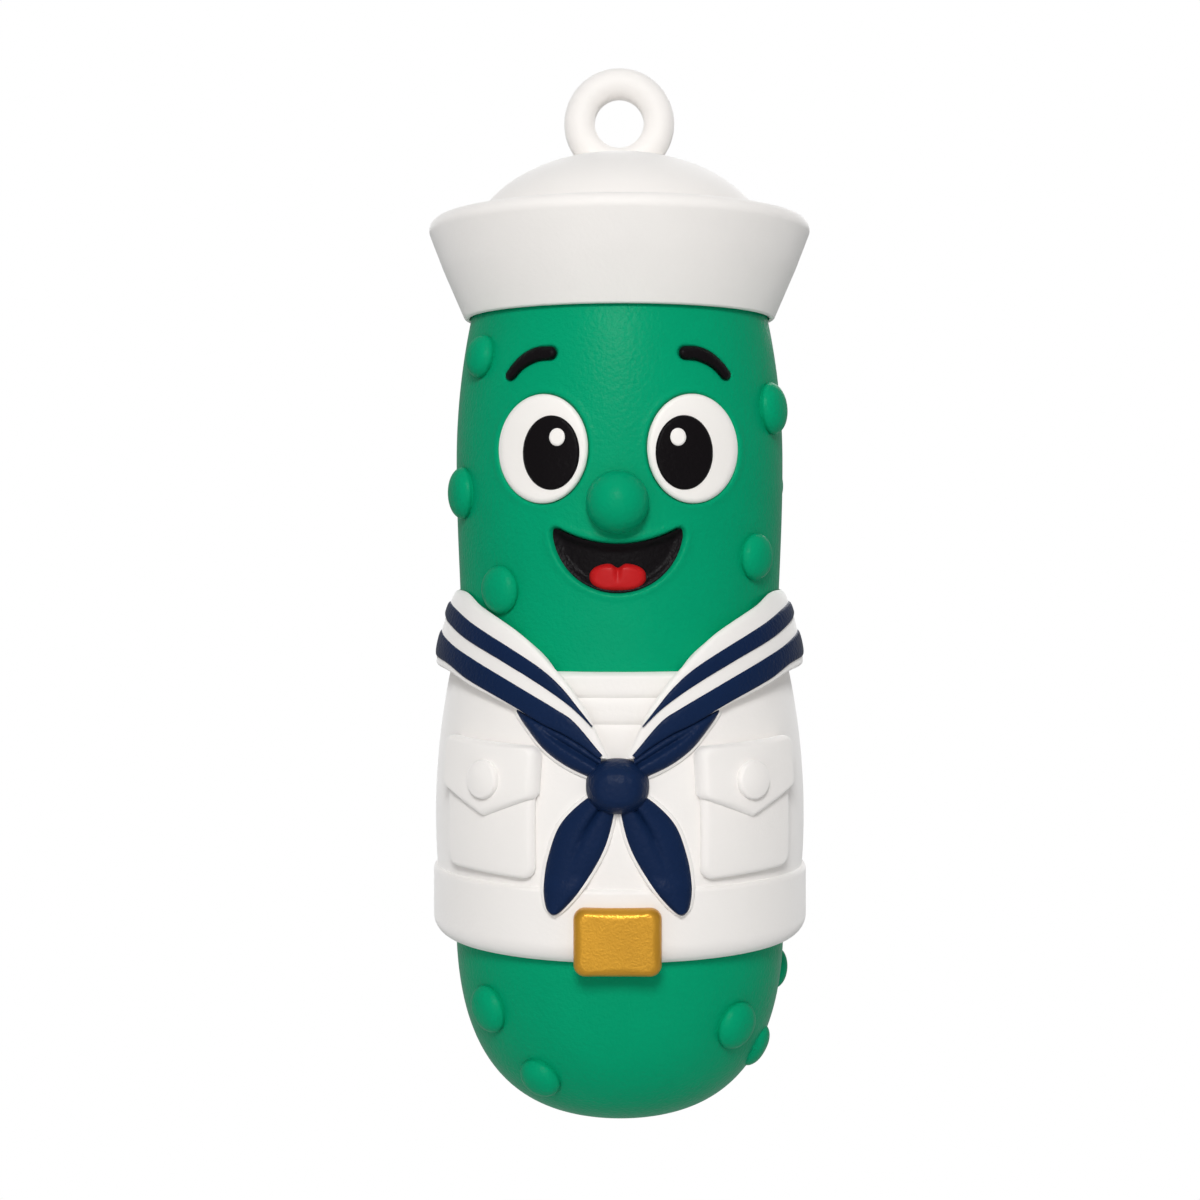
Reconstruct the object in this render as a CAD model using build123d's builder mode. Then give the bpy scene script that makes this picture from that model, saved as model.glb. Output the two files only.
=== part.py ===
from build123d import *
import math
import os

# A hanging pickle dressed as a sailor, made of soft vinyl mouldings, in millimetres.
# +Z is up and the face looks towards -Y. Left and right are the viewer's.
# The origin is the middle of the hole in the hanging loop.

# Fits
GLUE_GAP = 0.05
RUNNING_GAP = 0.2

# Hanging loop and the push-on retainer under the crown
LOOP_HOLE_RADIUS = 2.68
LOOP_SECTION_RADIUS = 1.72
LOOP_FLAT = 0.1
LOOP_SHOW = 0.72
STEM_RADIUS = 1.4
STEM_TIP = 1.0
RETAINER_RADIUS = 3.4
RETAINER_THICKNESS = 0.8

# Hat crown
CROWN_RADIUS = 16.5
CROWN_RISE = 8.8
CROWN_WALL = 1.8
BOSS_RADIUS = 4.5
BOSS_FLOOR = 2.4
# Share of the crown's wall that the boss reaches into
BOSS_ROOT = 0.7

# Hat cuff
CUFF_RIM_RISE = 1.5
CUFF_HEIGHT = 10.75
CUFF_FLARE = 4.4
CUFF_WALL = 2.4
CUFF_LIP = 0.5
CUFF_LIP_DEPTH = 0.85
CUFF_FLOOR = 2.0
# Shares of the wall that a rounding takes
CUFF_RIM_ROUND = 0.42
CUFF_LIP_ROUND = 0.7

# Flanged neck of the pickle, a snap fit in the floor of the hat
NECK_RADIUS = 9.0
NECK_FLANGE = 1.4
NECK_FLANGE_HEIGHT = 1.9
NECK_BORE_RADIUS = 6.6

# Pickle body: the head's edge lies inside the crown's radius, and the head is slimmer than the lower end
HEAD_EDGE_INSET = 0.3
HEAD_SLIMMING = 0.2
BODY_RADIUS = 18.05
BODY_WALL = 2.4
HEAD_BULGE_DROP = 15.55
SIDE_DIP = 0.7
HEAD_HEIGHT = 37.55
JUMPER_HEIGHT = 21.8
WAIST_HEIGHT = 7.8
LOWER_END_HEIGHT = 19.7
LOWER_END_ROUND = 23.3
LOWER_END_POWER = 2.7

# Eyes: across is from the middle, drop is below the hat's lower edge
EYE_ACROSS = 7.7
EYE_DROP = 14.75
EYE_WIDTH = 9.4
EYE_HEIGHT = 11.2
EYE_RISE = 0.5
EYE_SEAT = 0.8
PUPIL_ACROSS = 6.8
PUPIL_DROP = 15.2
PUPIL_WIDTH = 5.9
PUPIL_HEIGHT = 7.6
PUPIL_RISE = 0.25
PUPIL_SEAT = 0.5
GLINT_ACROSS = 6.15
GLINT_DROP = 13.65
GLINT_WIDTH = 1.64
GLINT_HEIGHT = 1.84
GLINT_RISE = 0.15
GLINT_SEAT = 0.3

# Eyebrows: points are (across, drop below the hat's lower edge)
BROW_START = (6.95, 4.95)
BROW_MIDDLE = (9.3, 5.45)
BROW_END = (11.2, 7.05)
BROW_WIDTH = 1.3
BROW_END_WIDTH = 0.7
BROW_RISE = 0.7
BROW_SEAT = 0.6

# Nose, mouth and tongue
NOSE_RADIUS = 3.2
NOSE_DROP = 20.25
NOSE_RISE = 3.9
NOSE_SEAT = 1.1
MOUTH_WIDTH = 13.26
MOUTH_BELOW_NOSE = 2.7
MOUTH_TOP_SAG = 1.6
MOUTH_BOTTOM_SAG = 6.5
MOUTH_CORNER = 0.5
MOUTH_DEPTH = 0.9
LINING_THICKNESS = 0.7
TONGUE_WIDTH = 5.5
TONGUE_SAG = 4.75
TONGUE_LOBE_RADIUS = 1.42
TONGUE_RISE = 0.5
TONGUE_MARGIN = 0.12

# Warts: (angle from the front, drop below the hat's lower edge, radius at the skin)
WART_RISE = 1.55
WART_SEAT = 0.7
HEAD_WARTS = [
    (-57.0, 4.75, 2.3),
    (-68.0, 19.05, 2.8),
    (-44.0, 29.25, 2.55),
    (66.0, 10.15, 2.8),
    (54.0, 25.85, 2.5),
    (-124.0, 8.5, 2.5),
    (-132.0, 23.0, 2.7),
    (176.0, 12.5, 2.8),
    (140.0, 24.5, 2.4),
    (112.0, 18.0, 2.6),
]
# Warts on the lower end: (angle from the front, drop below the waistband, radius at the skin)
LOWER_WARTS = [
    (-51.4, 6.3, 2.6),
    (-33.0, 13.1, 2.35),
    (45.6, 7.7, 2.6),
    (71.0, 11.9, 2.4),
    (104.0, 4.9, 2.4),
    (-118.0, 8.0, 2.6),
    (162.0, 7.0, 2.5),
]

# Undershirt: drops are below the neckline
UNDERSHIRT_THICKNESS = 1.0
UNDERSHIRT_HALF_WIDTH = 7.4
UNDERSHIRT_DEPTH = 10.3
RIB_DROPS = (2.6, 5.1)
RIB_GROOVE_RADIUS = 0.35

# Jumper and waistband: radii grow from the body's
JUMPER_LIFT = 2.0
JUMPER_TOP_THICKNESS = 0.65
BELLY_DROP = 16.5
BELLY_GROWTH = 2.15
WAIST_GROWTH = 2.4
WAIST_REBATE = 1.4
WAIST_LIP = 1.0
WAIST_TOP_ROUND = 0.4
WAIST_BOTTOM_ROUND = 1.1

# Sailor collar: lifts are above the neckline, growths are past the body's radius
COLLAR_NECK_LIFT = 8.4
COLLAR_EDGE_LIFT = 0.8
COLLAR_NECK_INSET = 0.05
COLLAR_NECK_MIDDLE = (7.8, 1.4)
COLLAR_EDGE_GROWTH = 1.45
LAPEL_TIP_DROP = 8.5
LAPEL_TIP_INNER = 0.7
LAPEL_TIP_OUTER = 1.9
BACK_FLAP_HALF_WIDTH = 13.5
BACK_FLAP_LENGTH = 8.6
BACK_FLAP_CORNER = 2.5
COLLAR_GROWTHS = [(0.0, 0.2), (3.9, 1.3), (6.9, 1.95), (11.4, 2.3), (19.4, 2.8)]
STRIPE_LIP = 0.3
STRIPE_WIDTH = 1.75
STRIPE_SPACING = 0.95
STRIPE_NECK_MARGIN = 0.5
STRIPE_RISE = 0.15
STRIPE_SEAT = 0.4

# Neckerchief: points are (across, drop below the neckline)
KNOT_DROP = 11.4
KNOT_WIDTH = 6.3
KNOT_HEIGHT = 5.6
KNOT_RISE = 2.9
KNOT_ROUND = 1.3
WING_ACROSS = 10.5
WING_LOW_MIDDLE = (7.6, 8.15)
WING_LOW_END = (2.4, 10.4)
WING_RISE = 1.25
KERCHIEF_SEAM = 0.1
TAIL_OUTER_START = (2.2, 12.3)
TAIL_INNER_START = (0.3, 13.5)
# Lower points of the tails: (across, drop below the top of the waistband)
TAIL_OUTER_MIDDLE = (6.7, -4.6)
TAIL_OUTER_END = (7.4, 1.8)
TAIL_TIP = (7.05, 2.55)
TAIL_INNER_END = (6.4, 2.8)
TAIL_INNER_MIDDLE = (2.0, -1.6)
TAIL_RISE = 1.05

# Patch pockets with buttoned flaps: drops are below the neckline
# A pocket clears the tail beside it and ends above the waistband
POCKET_TAIL_GAP = 0.4
POCKET_FOOT_GAP = 1.0
POCKET_WIDTH = 12.3
POCKET_DROP = 8.0
POCKET_CORNER = 1.3
POCKET_RISE = 0.65
FLAP_WIDTH = 13.3
FLAP_DROP = 7.7
FLAP_SIDE = 4.7
FLAP_POINT = 7.2
FLAP_CORNER = 0.8
FLAP_RISE = 1.3
BUTTON_DROP = 11.4
BUTTON_RADIUS = 2.0
BUTTON_HEIGHT = 0.9
BUTTON_ROUND = 0.4
BUTTON_PEG_RADIUS = 0.8
BUTTON_PEG_LENGTH = 2.4

# Belt buckle
BUCKLE_WIDTH = 8.9
BUCKLE_HEIGHT = 6.9
BUCKLE_DROP = 5.25
BUCKLE_RISE = 1.2
BUCKLE_CORNER = 1.0
BUCKLE_ROUND = 0.45

# Levels that follow from the sizes above, downwards from the loop
LOOP_RING_RADIUS = LOOP_HOLE_RADIUS + LOOP_SECTION_RADIUS - LOOP_FLAT
LOOP_BOTTOM = -(LOOP_RING_RADIUS + LOOP_SECTION_RADIUS)
CROWN_TOP = -(LOOP_HOLE_RADIUS + LOOP_SHOW)
CROWN_BASE = CROWN_TOP - CROWN_RISE
BOSS_BOTTOM = LOOP_BOTTOM - BOSS_FLOOR
STEM_END = BOSS_BOTTOM - RETAINER_THICKNESS - STEM_TIP
CUFF_RIM = CROWN_BASE + CUFF_RIM_RISE
HAT_EDGE = CUFF_RIM - CUFF_HEIGHT
FLOOR_BOTTOM = HAT_EDGE + CUFF_LIP_DEPTH
FLOOR_TOP = FLOOR_BOTTOM + CUFF_FLOOR
SHOULDER = FLOOR_BOTTOM - RUNNING_GAP
FLANGE_BOTTOM = FLOOR_TOP + GLUE_GAP
NECK_TOP = FLANGE_BOTTOM + NECK_FLANGE_HEIGHT
HEAD_EDGE_RADIUS = CROWN_RADIUS - HEAD_EDGE_INSET
HEAD_RADIUS = BODY_RADIUS - HEAD_SLIMMING
HEAD_BULGE = HAT_EDGE - HEAD_BULGE_DROP
MOUTH_CORNER_DROP = NOSE_DROP + MOUTH_BELOW_NOSE
NECKLINE = HAT_EDGE - HEAD_HEIGHT
JUMPER_TOP = NECKLINE + JUMPER_LIFT
BELLY = NECKLINE - BELLY_DROP
WAIST_TOP = NECKLINE - JUMPER_HEIGHT
WAIST_BOTTOM = WAIST_TOP - WAIST_HEIGHT
JUMPER_BOTTOM = WAIST_BOTTOM + WAIST_LIP
BODY_BOTTOM = WAIST_BOTTOM - LOWER_END_HEIGHT
LOWER_END_TOP = BODY_BOTTOM + LOWER_END_ROUND
COLLAR_NECK = NECKLINE + COLLAR_NECK_LIFT
COLLAR_EDGE = NECKLINE + COLLAR_EDGE_LIFT
COLLAR_NECK_ACROSS = BODY_RADIUS - COLLAR_NECK_INSET
COLLAR_EDGE_ACROSS = BODY_RADIUS + COLLAR_EDGE_GROWTH
LAPEL_TIP = NECKLINE - LAPEL_TIP_DROP
WAIST_RADIUS = BODY_RADIUS + WAIST_GROWTH
BELLY_RADIUS = BODY_RADIUS + BELLY_GROWTH
POCKET_HEIGHT = JUMPER_HEIGHT - POCKET_DROP - POCKET_FOOT_GAP
POCKET_HALF_TURN = math.asin(POCKET_WIDTH / 2 / BELLY_RADIUS)
POCKET_START_TURN = math.asin((TAIL_OUTER_END[0] + POCKET_TAIL_GAP) / BELLY_RADIUS)
POCKET_ANGLE = math.degrees(POCKET_START_TURN + POCKET_HALF_TURN)

# Construction reach past the figure, and the number of points along a curved wall
REACH = 1.5 * WAIST_RADIUS
WALL_POINTS = 9
SIDES = (("left", -1), ("right", 1))

os.makedirs("parts", exist_ok=True)


def pickle_radius(z):
    """Radius of the pickle's skin at a level."""
    if z >= HEAD_BULGE:
        share = (z - HEAD_BULGE) / (HAT_EDGE - HEAD_BULGE)
        return HEAD_RADIUS - (HEAD_RADIUS - HEAD_EDGE_RADIUS) * share**2
    if z >= LOWER_END_TOP:
        share = (HEAD_BULGE - z) / (HEAD_BULGE - LOWER_END_TOP)
        dip = SIDE_DIP * (1 - math.cos(2 * math.pi * share)) / 2
        return HEAD_RADIUS + HEAD_SLIMMING * share - dip
    share = min(1.0, (LOWER_END_TOP - z) / LOWER_END_ROUND)
    return BODY_RADIUS * (1 - share**LOWER_END_POWER) ** (1 / LOWER_END_POWER)


def jumper_radius(z):
    """Radius of the jumper's outside at a level."""
    top = pickle_radius(JUMPER_TOP) + JUMPER_TOP_THICKNESS
    share = (z - BELLY) / (JUMPER_TOP - BELLY)
    return BELLY_RADIUS - (BELLY_RADIUS - top) * share**2


def wall_points(radius_at, top, bottom, grow=0.0):
    """Points down a wall, from one level to another."""
    step = (bottom - top) / (WALL_POINTS - 1)
    levels = [top + step * index for index in range(WALL_POINTS)]
    return [(radius_at(z) + grow, z) for z in levels]


def lower_end_points(wall):
    """Points down the rounded lower end to its pole, a wall inside the skin."""
    points = []
    for index in range(1, WALL_POINTS):
        angle = math.pi / 2 * index / WALL_POINTS
        out = math.cos(angle) ** (2 / LOWER_END_POWER)
        down = math.sin(angle) ** (2 / LOWER_END_POWER)
        points.append(((BODY_RADIUS - wall) * out, LOWER_END_TOP - (LOWER_END_ROUND - wall) * down))
    return points + [(0.0, BODY_BOTTOM + wall)]


def pickle_points(top, wall):
    """Points down the pickle's skin, or its inner wall, to the pole."""
    return wall_points(pickle_radius, top, LOWER_END_TOP, -wall) + lower_end_points(wall)


def turned_solid(points):
    """Solid turned about the pickle's axis behind a curved wall."""
    with BuildPart() as solid:
        with BuildSketch(Plane.XZ):
            with BuildLine():
                Spline(*points)
                Polyline(points[-1], (0, points[-1][1]), (0, points[0][1]), points[0])
            make_face()
        revolve(axis=Axis.Z)
    return solid.part


def head_skin(rise):
    """What lies inside the pickle's skin, grown by a rise, from the hat to below the neckline."""
    return turned_solid(wall_points(pickle_radius, HAT_EDGE, BELLY, rise))


def jumper_skin(rise):
    """What lies inside the jumper's outside, grown by a rise."""
    return turned_solid(wall_points(jumper_radius, JUMPER_TOP, WAIST_TOP, rise))


def collar_skin(rise):
    """What lies inside the collar's outside, grown by a rise."""
    points = [(BODY_RADIUS + growth + rise, COLLAR_NECK - drop) for drop, growth in COLLAR_GROWTHS]
    return turned_solid(points)


def upright_plane(angle):
    """Upright plane through the axis that faces an angle from the front."""
    turn = math.radians(angle)
    out = (math.sin(turn), -math.cos(turn), 0)
    return Plane((0, 0, 0), x_dir=(math.cos(turn), math.sin(turn), 0), z_dir=out)


def surface_plane(radius_at, angle, z, rise=0.0):
    """Plane square to a turned wall at an angle from the front and a level."""
    step = 0.01
    slope = (radius_at(z + step) - radius_at(z - step)) / (2 * step)
    turn = math.radians(angle)
    normal = Vector(math.sin(turn), -math.cos(turn), -slope).normalized()
    radius = radius_at(z)
    point = Vector(radius * math.sin(turn), -radius * math.cos(turn), z)
    return Plane(point + normal * rise, z_dir=normal)


def ball_cap(plane, radius, rise, seat):
    """Ball that stands a rise proud of a plane and is cut flat a seat's depth below it."""
    with BuildPart(plane) as cap:
        with Locations((0, 0, rise - radius)):
            Sphere(radius)
        split(bisect_by=plane.offset(-seat), keep=Keep.TOP)
    return cap.part


def oval(across, z, width, height, grow=0.0):
    """Upright oval on the front."""
    with BuildSketch(Plane.XZ) as outline:
        with Locations((across, z)):
            Ellipse(width / 2 + grow, height / 2 + grow)
    return outline.sketch


def recess(outline, floor):
    """Space in front of a floor solid, within an outline on the front."""
    with BuildPart() as space:
        extrude(outline, amount=REACH)
        add(floor, mode=Mode.SUBTRACT)
    return space.part


def brow_outline(sign, grow=0.0):
    """Tapering arc of an eyebrow with round ends."""
    places = (BROW_START, BROW_MIDDLE, BROW_END)
    start, middle, end = [(sign * across, HAT_EDGE - drop) for across, drop in places]
    half = BROW_WIDTH / 2 + grow
    end_half = BROW_END_WIDTH / 2 + grow
    middle_half = (half + end_half) / 2
    with BuildSketch(Plane.XZ) as outline:
        with BuildLine():
            top_start = (start[0], start[1] + half)
            low_start = (start[0], start[1] - half)
            diagonal = end_half * math.sqrt(0.5)
            top_end = (end[0] + sign * diagonal, end[1] + diagonal)
            low_end = (end[0] - sign * diagonal, end[1] - diagonal)
            ThreePointArc(top_start, (middle[0], middle[1] + middle_half), top_end)
            ThreePointArc(top_end, (end[0] + sign * diagonal, end[1] - diagonal), low_end)
            ThreePointArc(low_end, (middle[0], middle[1] - middle_half), low_start)
            ThreePointArc(low_start, (start[0] - sign * half, start[1]), top_start)
        make_face()
    return outline.sketch


def mouth_outline(grow=0.0):
    """Open smile between two arcs that meet at rounded corners."""
    corner = MOUTH_WIDTH / 2
    z = HAT_EDGE - MOUTH_CORNER_DROP
    with BuildSketch(Plane.XZ) as outline:
        with BuildLine():
            ThreePointArc((-corner, z), (0, z - MOUTH_TOP_SAG), (corner, z))
            ThreePointArc((corner, z), (0, z - MOUTH_BOTTOM_SAG), (-corner, z))
        make_face()
        fillet(outline.vertices(), MOUTH_CORNER)
        if grow:
            offset(amount=grow, mode=Mode.REPLACE)
    return outline.sketch


def lapel_outline(sign, neck_margin=0.0):
    """One half of the collar's front, between the neck edge and the outer edge."""
    neck = COLLAR_NECK - neck_margin
    middle = (sign * COLLAR_NECK_MIDDLE[0], NECKLINE + COLLAR_NECK_MIDDLE[1] - neck_margin)
    with BuildSketch(Plane.XZ) as outline:
        with BuildLine():
            Line((sign * REACH, neck), (sign * COLLAR_NECK_ACROSS, neck))
            ThreePointArc((sign * COLLAR_NECK_ACROSS, neck), middle, (sign * LAPEL_TIP_INNER, LAPEL_TIP))
            Polyline(
                (sign * LAPEL_TIP_INNER, LAPEL_TIP),
                (sign * LAPEL_TIP_OUTER, LAPEL_TIP),
                (sign * COLLAR_EDGE_ACROSS, COLLAR_EDGE),
                (sign * REACH, COLLAR_EDGE),
                (sign * REACH, neck),
            )
        make_face()
    return outline.sketch


LAPEL_SLOPE = (COLLAR_EDGE - LAPEL_TIP) / (COLLAR_EDGE_ACROSS - LAPEL_TIP_OUTER)
LAPEL_STRETCH = math.hypot(1, LAPEL_SLOPE)


def lapel_edge_level(across, inset=0.0):
    """Level of the lapel's outer edge, moved inwards, at a distance from the middle."""
    return COLLAR_EDGE - LAPEL_SLOPE * (COLLAR_EDGE_ACROSS - across) + inset * LAPEL_STRETCH


def within_front_edge(sign, inset):
    """Everything above the collar's front outer edge, moved inwards."""
    bend = COLLAR_EDGE_ACROSS - inset * (LAPEL_STRETCH - 1) / LAPEL_SLOPE
    with BuildSketch(Plane.XZ) as outline:
        with BuildLine():
            Polyline(
                (0, lapel_edge_level(0, inset)),
                (sign * bend, COLLAR_EDGE + inset),
                (sign * REACH, COLLAR_EDGE + inset),
                (sign * REACH, COLLAR_NECK),
                (0, COLLAR_NECK),
                close=True,
            )
        make_face()
    return outline.sketch


def back_outline(inset=0.0):
    """The collar's back: shoulders and a square flap, with its outer edge moved inwards."""
    side = BACK_FLAP_HALF_WIDTH - inset
    shoulder = COLLAR_EDGE + inset
    bottom = COLLAR_EDGE - BACK_FLAP_LENGTH + inset
    with BuildSketch(Plane.XZ) as outline:
        with BuildLine():
            Polyline(
                (-REACH, COLLAR_NECK),
                (-REACH, shoulder),
                (-side, shoulder),
                (-side, bottom),
                (side, bottom),
                (side, shoulder),
                (REACH, shoulder),
                (REACH, COLLAR_NECK),
                close=True,
            )
        make_face()
        inner_corners = outline.vertices().group_by(Axis.Y)[1].sort_by(Axis.X)[1:3]
        fillet(inner_corners, BACK_FLAP_CORNER + inset)
    return outline.sketch


def stripe_solid(start, width, grow=0.0):
    """Upright walls of a stripe that runs round the collar at a distance from its outer edge."""
    with BuildPart() as walls:
        for _, sign in SIDES:
            with BuildSketch(Plane.XZ):
                add(lapel_outline(sign, STRIPE_NECK_MARGIN - grow))
                add(within_front_edge(sign, start - grow), mode=Mode.INTERSECT)
                add(within_front_edge(sign, start + width + grow), mode=Mode.SUBTRACT)
            extrude(amount=REACH)
        with BuildSketch(Plane.XZ):
            add(back_outline(start - grow))
            add(back_outline(start + width + grow), mode=Mode.SUBTRACT)
        extrude(amount=-REACH)
    return walls.part


def stripe_groove(start):
    """Groove in the collar that takes a stripe."""
    with BuildPart() as groove:
        add(stripe_solid(start, STRIPE_WIDTH, GLUE_GAP))
        add(collar_skin(-STRIPE_SEAT - GLUE_GAP), mode=Mode.SUBTRACT)
    return groove.part


def figure_points(sign, level, *points):
    """Points of the neckerchief on the front, from (across, drop below a level) pairs."""
    return [(sign * across, level - drop) for across, drop in points]


def wing_outline(sign, grow=0.0):
    """Neckerchief wing between the lapel's outer edge and a low arc, up to the knot."""
    seam = KERCHIEF_SEAM * LAPEL_STRETCH
    wing_outer = (sign * (WING_ACROSS + grow), lapel_edge_level(WING_ACROSS + grow) - seam)
    wing_inner = (sign * LAPEL_TIP_OUTER, LAPEL_TIP - seam)
    low_middle, low_end = figure_points(sign, NECKLINE, WING_LOW_MIDDLE, WING_LOW_END)
    low_middle = (low_middle[0] + sign * grow, low_middle[1] - grow)
    with BuildSketch(Plane.XZ) as outline:
        with BuildLine():
            ThreePointArc(wing_outer, low_middle, low_end)
            Polyline(low_end, wing_inner, wing_outer)
        make_face()
    return outline.sketch


def pocket_outline(sign, grow=0.0):
    """Patch pocket with rounded lower corners."""
    with BuildSketch(upright_plane(sign * POCKET_ANGLE)) as outline:
        with Locations((0, NECKLINE - POCKET_DROP - POCKET_HEIGHT / 2)):
            Rectangle(POCKET_WIDTH + 2 * grow, POCKET_HEIGHT + 2 * grow)
        fillet(outline.vertices().group_by(Axis.Y)[0], POCKET_CORNER + grow)
    return outline.sketch


def button_plane(sign, rise):
    """Plane under a pocket button."""
    return surface_plane(jumper_radius, sign * POCKET_ANGLE, NECKLINE - BUTTON_DROP, rise)


def button_hole(sign):
    """Hole for a button's peg through the flap and the pocket into the jumper."""
    with BuildPart(button_plane(sign, FLAP_RISE)) as hole:
        depth = BUTTON_PEG_LENGTH + GLUE_GAP
        Cylinder(BUTTON_PEG_RADIUS + GLUE_GAP, 2 * depth)
    return hole.part


# Hanging loop: a round ring with a narrow flat land inside its hole, and a stem below
with BuildPart() as hanging_loop:
    with BuildSketch(Plane.XY):
        with Locations((LOOP_RING_RADIUS, 0)):
            Circle(LOOP_SECTION_RADIUS)
        with Locations((LOOP_HOLE_RADIUS, 0)):
            inwards = (Align.MAX, Align.CENTER)
            Rectangle(LOOP_HOLE_RADIUS, 2 * LOOP_SECTION_RADIUS, align=inwards, mode=Mode.SUBTRACT)
    revolve(axis=Axis.Y)
    with Locations((0, 0, STEM_END)):
        stem_up = (Align.CENTER, Align.CENTER, Align.MIN)
        Cylinder(STEM_RADIUS, -LOOP_RING_RADIUS - STEM_END, align=stem_up)
hanging_loop.part.label = "hanging_loop"
export_step(hanging_loop.part, "parts/hanging_loop.step")

# Push-on retainer on the stem, under the crown's boss
with BuildPart(Plane.XY.offset(BOSS_BOTTOM - GLUE_GAP)) as loop_retainer:
    downwards = (Align.CENTER, Align.CENTER, Align.MAX)
    Cylinder(RETAINER_RADIUS, RETAINER_THICKNESS, align=downwards)
    Cylinder(STEM_RADIUS + GLUE_GAP, RETAINER_THICKNESS, align=downwards, mode=Mode.SUBTRACT)
loop_retainer.part.label = "loop_retainer"
export_step(loop_retainer.part, "parts/loop_retainer.step")

# Hat crown: an oval dome on a short wall, with a boss inside that the loop sits in
with BuildPart() as hat_crown:
    with BuildSketch(Plane.XZ):
        with BuildLine():
            crown_foot = FLOOR_TOP + GLUE_GAP
            inner_radius = CROWN_RADIUS - CROWN_WALL
            EllipticalCenterArc((0, CROWN_BASE), CROWN_RADIUS, CROWN_RISE, start_angle=0, arc_size=90)
            Line((0, CROWN_TOP), (0, CROWN_TOP - CROWN_WALL))
            inner_rise = CROWN_RISE - CROWN_WALL
            EllipticalCenterArc((0, CROWN_BASE), inner_radius, inner_rise, start_angle=0, arc_size=90)
            Polyline(
                (inner_radius, CROWN_BASE),
                (inner_radius, crown_foot),
                (CROWN_RADIUS, crown_foot),
                (CROWN_RADIUS, CROWN_BASE),
            )
        make_face()
    revolve(axis=Axis.Z)
    with Locations((0, 0, BOSS_BOTTOM)):
        boss_top = CROWN_TOP - BOSS_ROOT * CROWN_WALL
        Cylinder(BOSS_RADIUS, boss_top - BOSS_BOTTOM, align=(Align.CENTER, Align.CENTER, Align.MIN))
    with BuildSketch(Plane.XY):
        with Locations((LOOP_RING_RADIUS, 0)):
            Circle(LOOP_SECTION_RADIUS + GLUE_GAP)
    revolve(axis=Axis.Y, mode=Mode.SUBTRACT)
    with Locations((0, 0, BOSS_BOTTOM)):
        Cylinder(
            STEM_RADIUS + GLUE_GAP,
            -LOOP_RING_RADIUS - BOSS_BOTTOM,
            align=(Align.CENTER, Align.CENTER, Align.MIN),
            mode=Mode.SUBTRACT,
        )
hat_crown.part.label = "hat_crown"
export_step(hat_crown.part, "parts/hat_crown.step")

# Hat cuff: a flared turned-up band round the crown, with the floor that takes the pickle's neck
with BuildPart() as hat_cuff:
    with BuildSketch(Plane.XZ) as cuff_section:
        lip_inside = HEAD_EDGE_RADIUS + RUNNING_GAP
        cuff_foot = lip_inside + CUFF_LIP
        cuff_lean = CUFF_FLARE / CUFF_HEIGHT
        crown_seat = CROWN_RADIUS + GLUE_GAP
        trough = HAT_EDGE + (crown_seat + CUFF_WALL - cuff_foot) / cuff_lean
        floor_hole = NECK_RADIUS + RUNNING_GAP / 2
        with BuildLine():
            Polyline(
                (lip_inside, HAT_EDGE),
                (cuff_foot, HAT_EDGE),
                (cuff_foot + CUFF_FLARE, CUFF_RIM),
                (cuff_foot + CUFF_FLARE - CUFF_WALL, CUFF_RIM),
                (crown_seat, trough),
                (crown_seat, FLOOR_TOP),
                (floor_hole, FLOOR_TOP),
                (floor_hole, FLOOR_BOTTOM),
                (lip_inside, FLOOR_BOTTOM),
                close=True,
            )
        make_face()
        fillet(cuff_section.vertices().group_by(Axis.Y)[-1], CUFF_RIM_ROUND * CUFF_WALL)
        fillet(cuff_section.vertices().group_by(Axis.Y)[0].sort_by(Axis.X)[-1], CUFF_LIP_ROUND * CUFF_LIP)
    revolve(axis=Axis.Z)
hat_cuff.part.label = "hat_cuff"
export_step(hat_cuff.part, "parts/hat_cuff.step")

# Warts and nose: ball caps, each glued in a socket of the same form
wart_places = [("head", HAT_EDGE, *place) for place in HEAD_WARTS]
wart_places += [("lower", WAIST_BOTTOM, *place) for place in LOWER_WARTS]
wart_counts = {"head": 0, "lower": 0}
sockets = []
for zone, start_level, angle, drop, foot in wart_places:
    seat_plane = surface_plane(pickle_radius, angle, start_level - drop)
    ball = (foot**2 + WART_RISE**2) / (2 * WART_RISE)
    with BuildPart() as wart:
        add(ball_cap(seat_plane, ball, WART_RISE, WART_SEAT))
    wart_counts[zone] += 1
    wart_name = f"wart_{zone}_{wart_counts[zone]}"
    wart.part.label = wart_name
    export_step(wart.part, f"parts/{wart_name}.step")
    sockets.append(ball_cap(seat_plane, ball + GLUE_GAP, WART_RISE + GLUE_GAP, WART_SEAT + GLUE_GAP))

nose_plane = surface_plane(pickle_radius, 0, HAT_EDGE - NOSE_DROP)
with BuildPart() as nose:
    add(ball_cap(nose_plane, NOSE_RADIUS, NOSE_RISE, NOSE_SEAT))
nose.part.label = "nose"
export_step(nose.part, "parts/nose.step")
sockets.append(ball_cap(nose_plane, NOSE_RADIUS + GLUE_GAP, NOSE_RISE + GLUE_GAP, NOSE_SEAT + GLUE_GAP))

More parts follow.
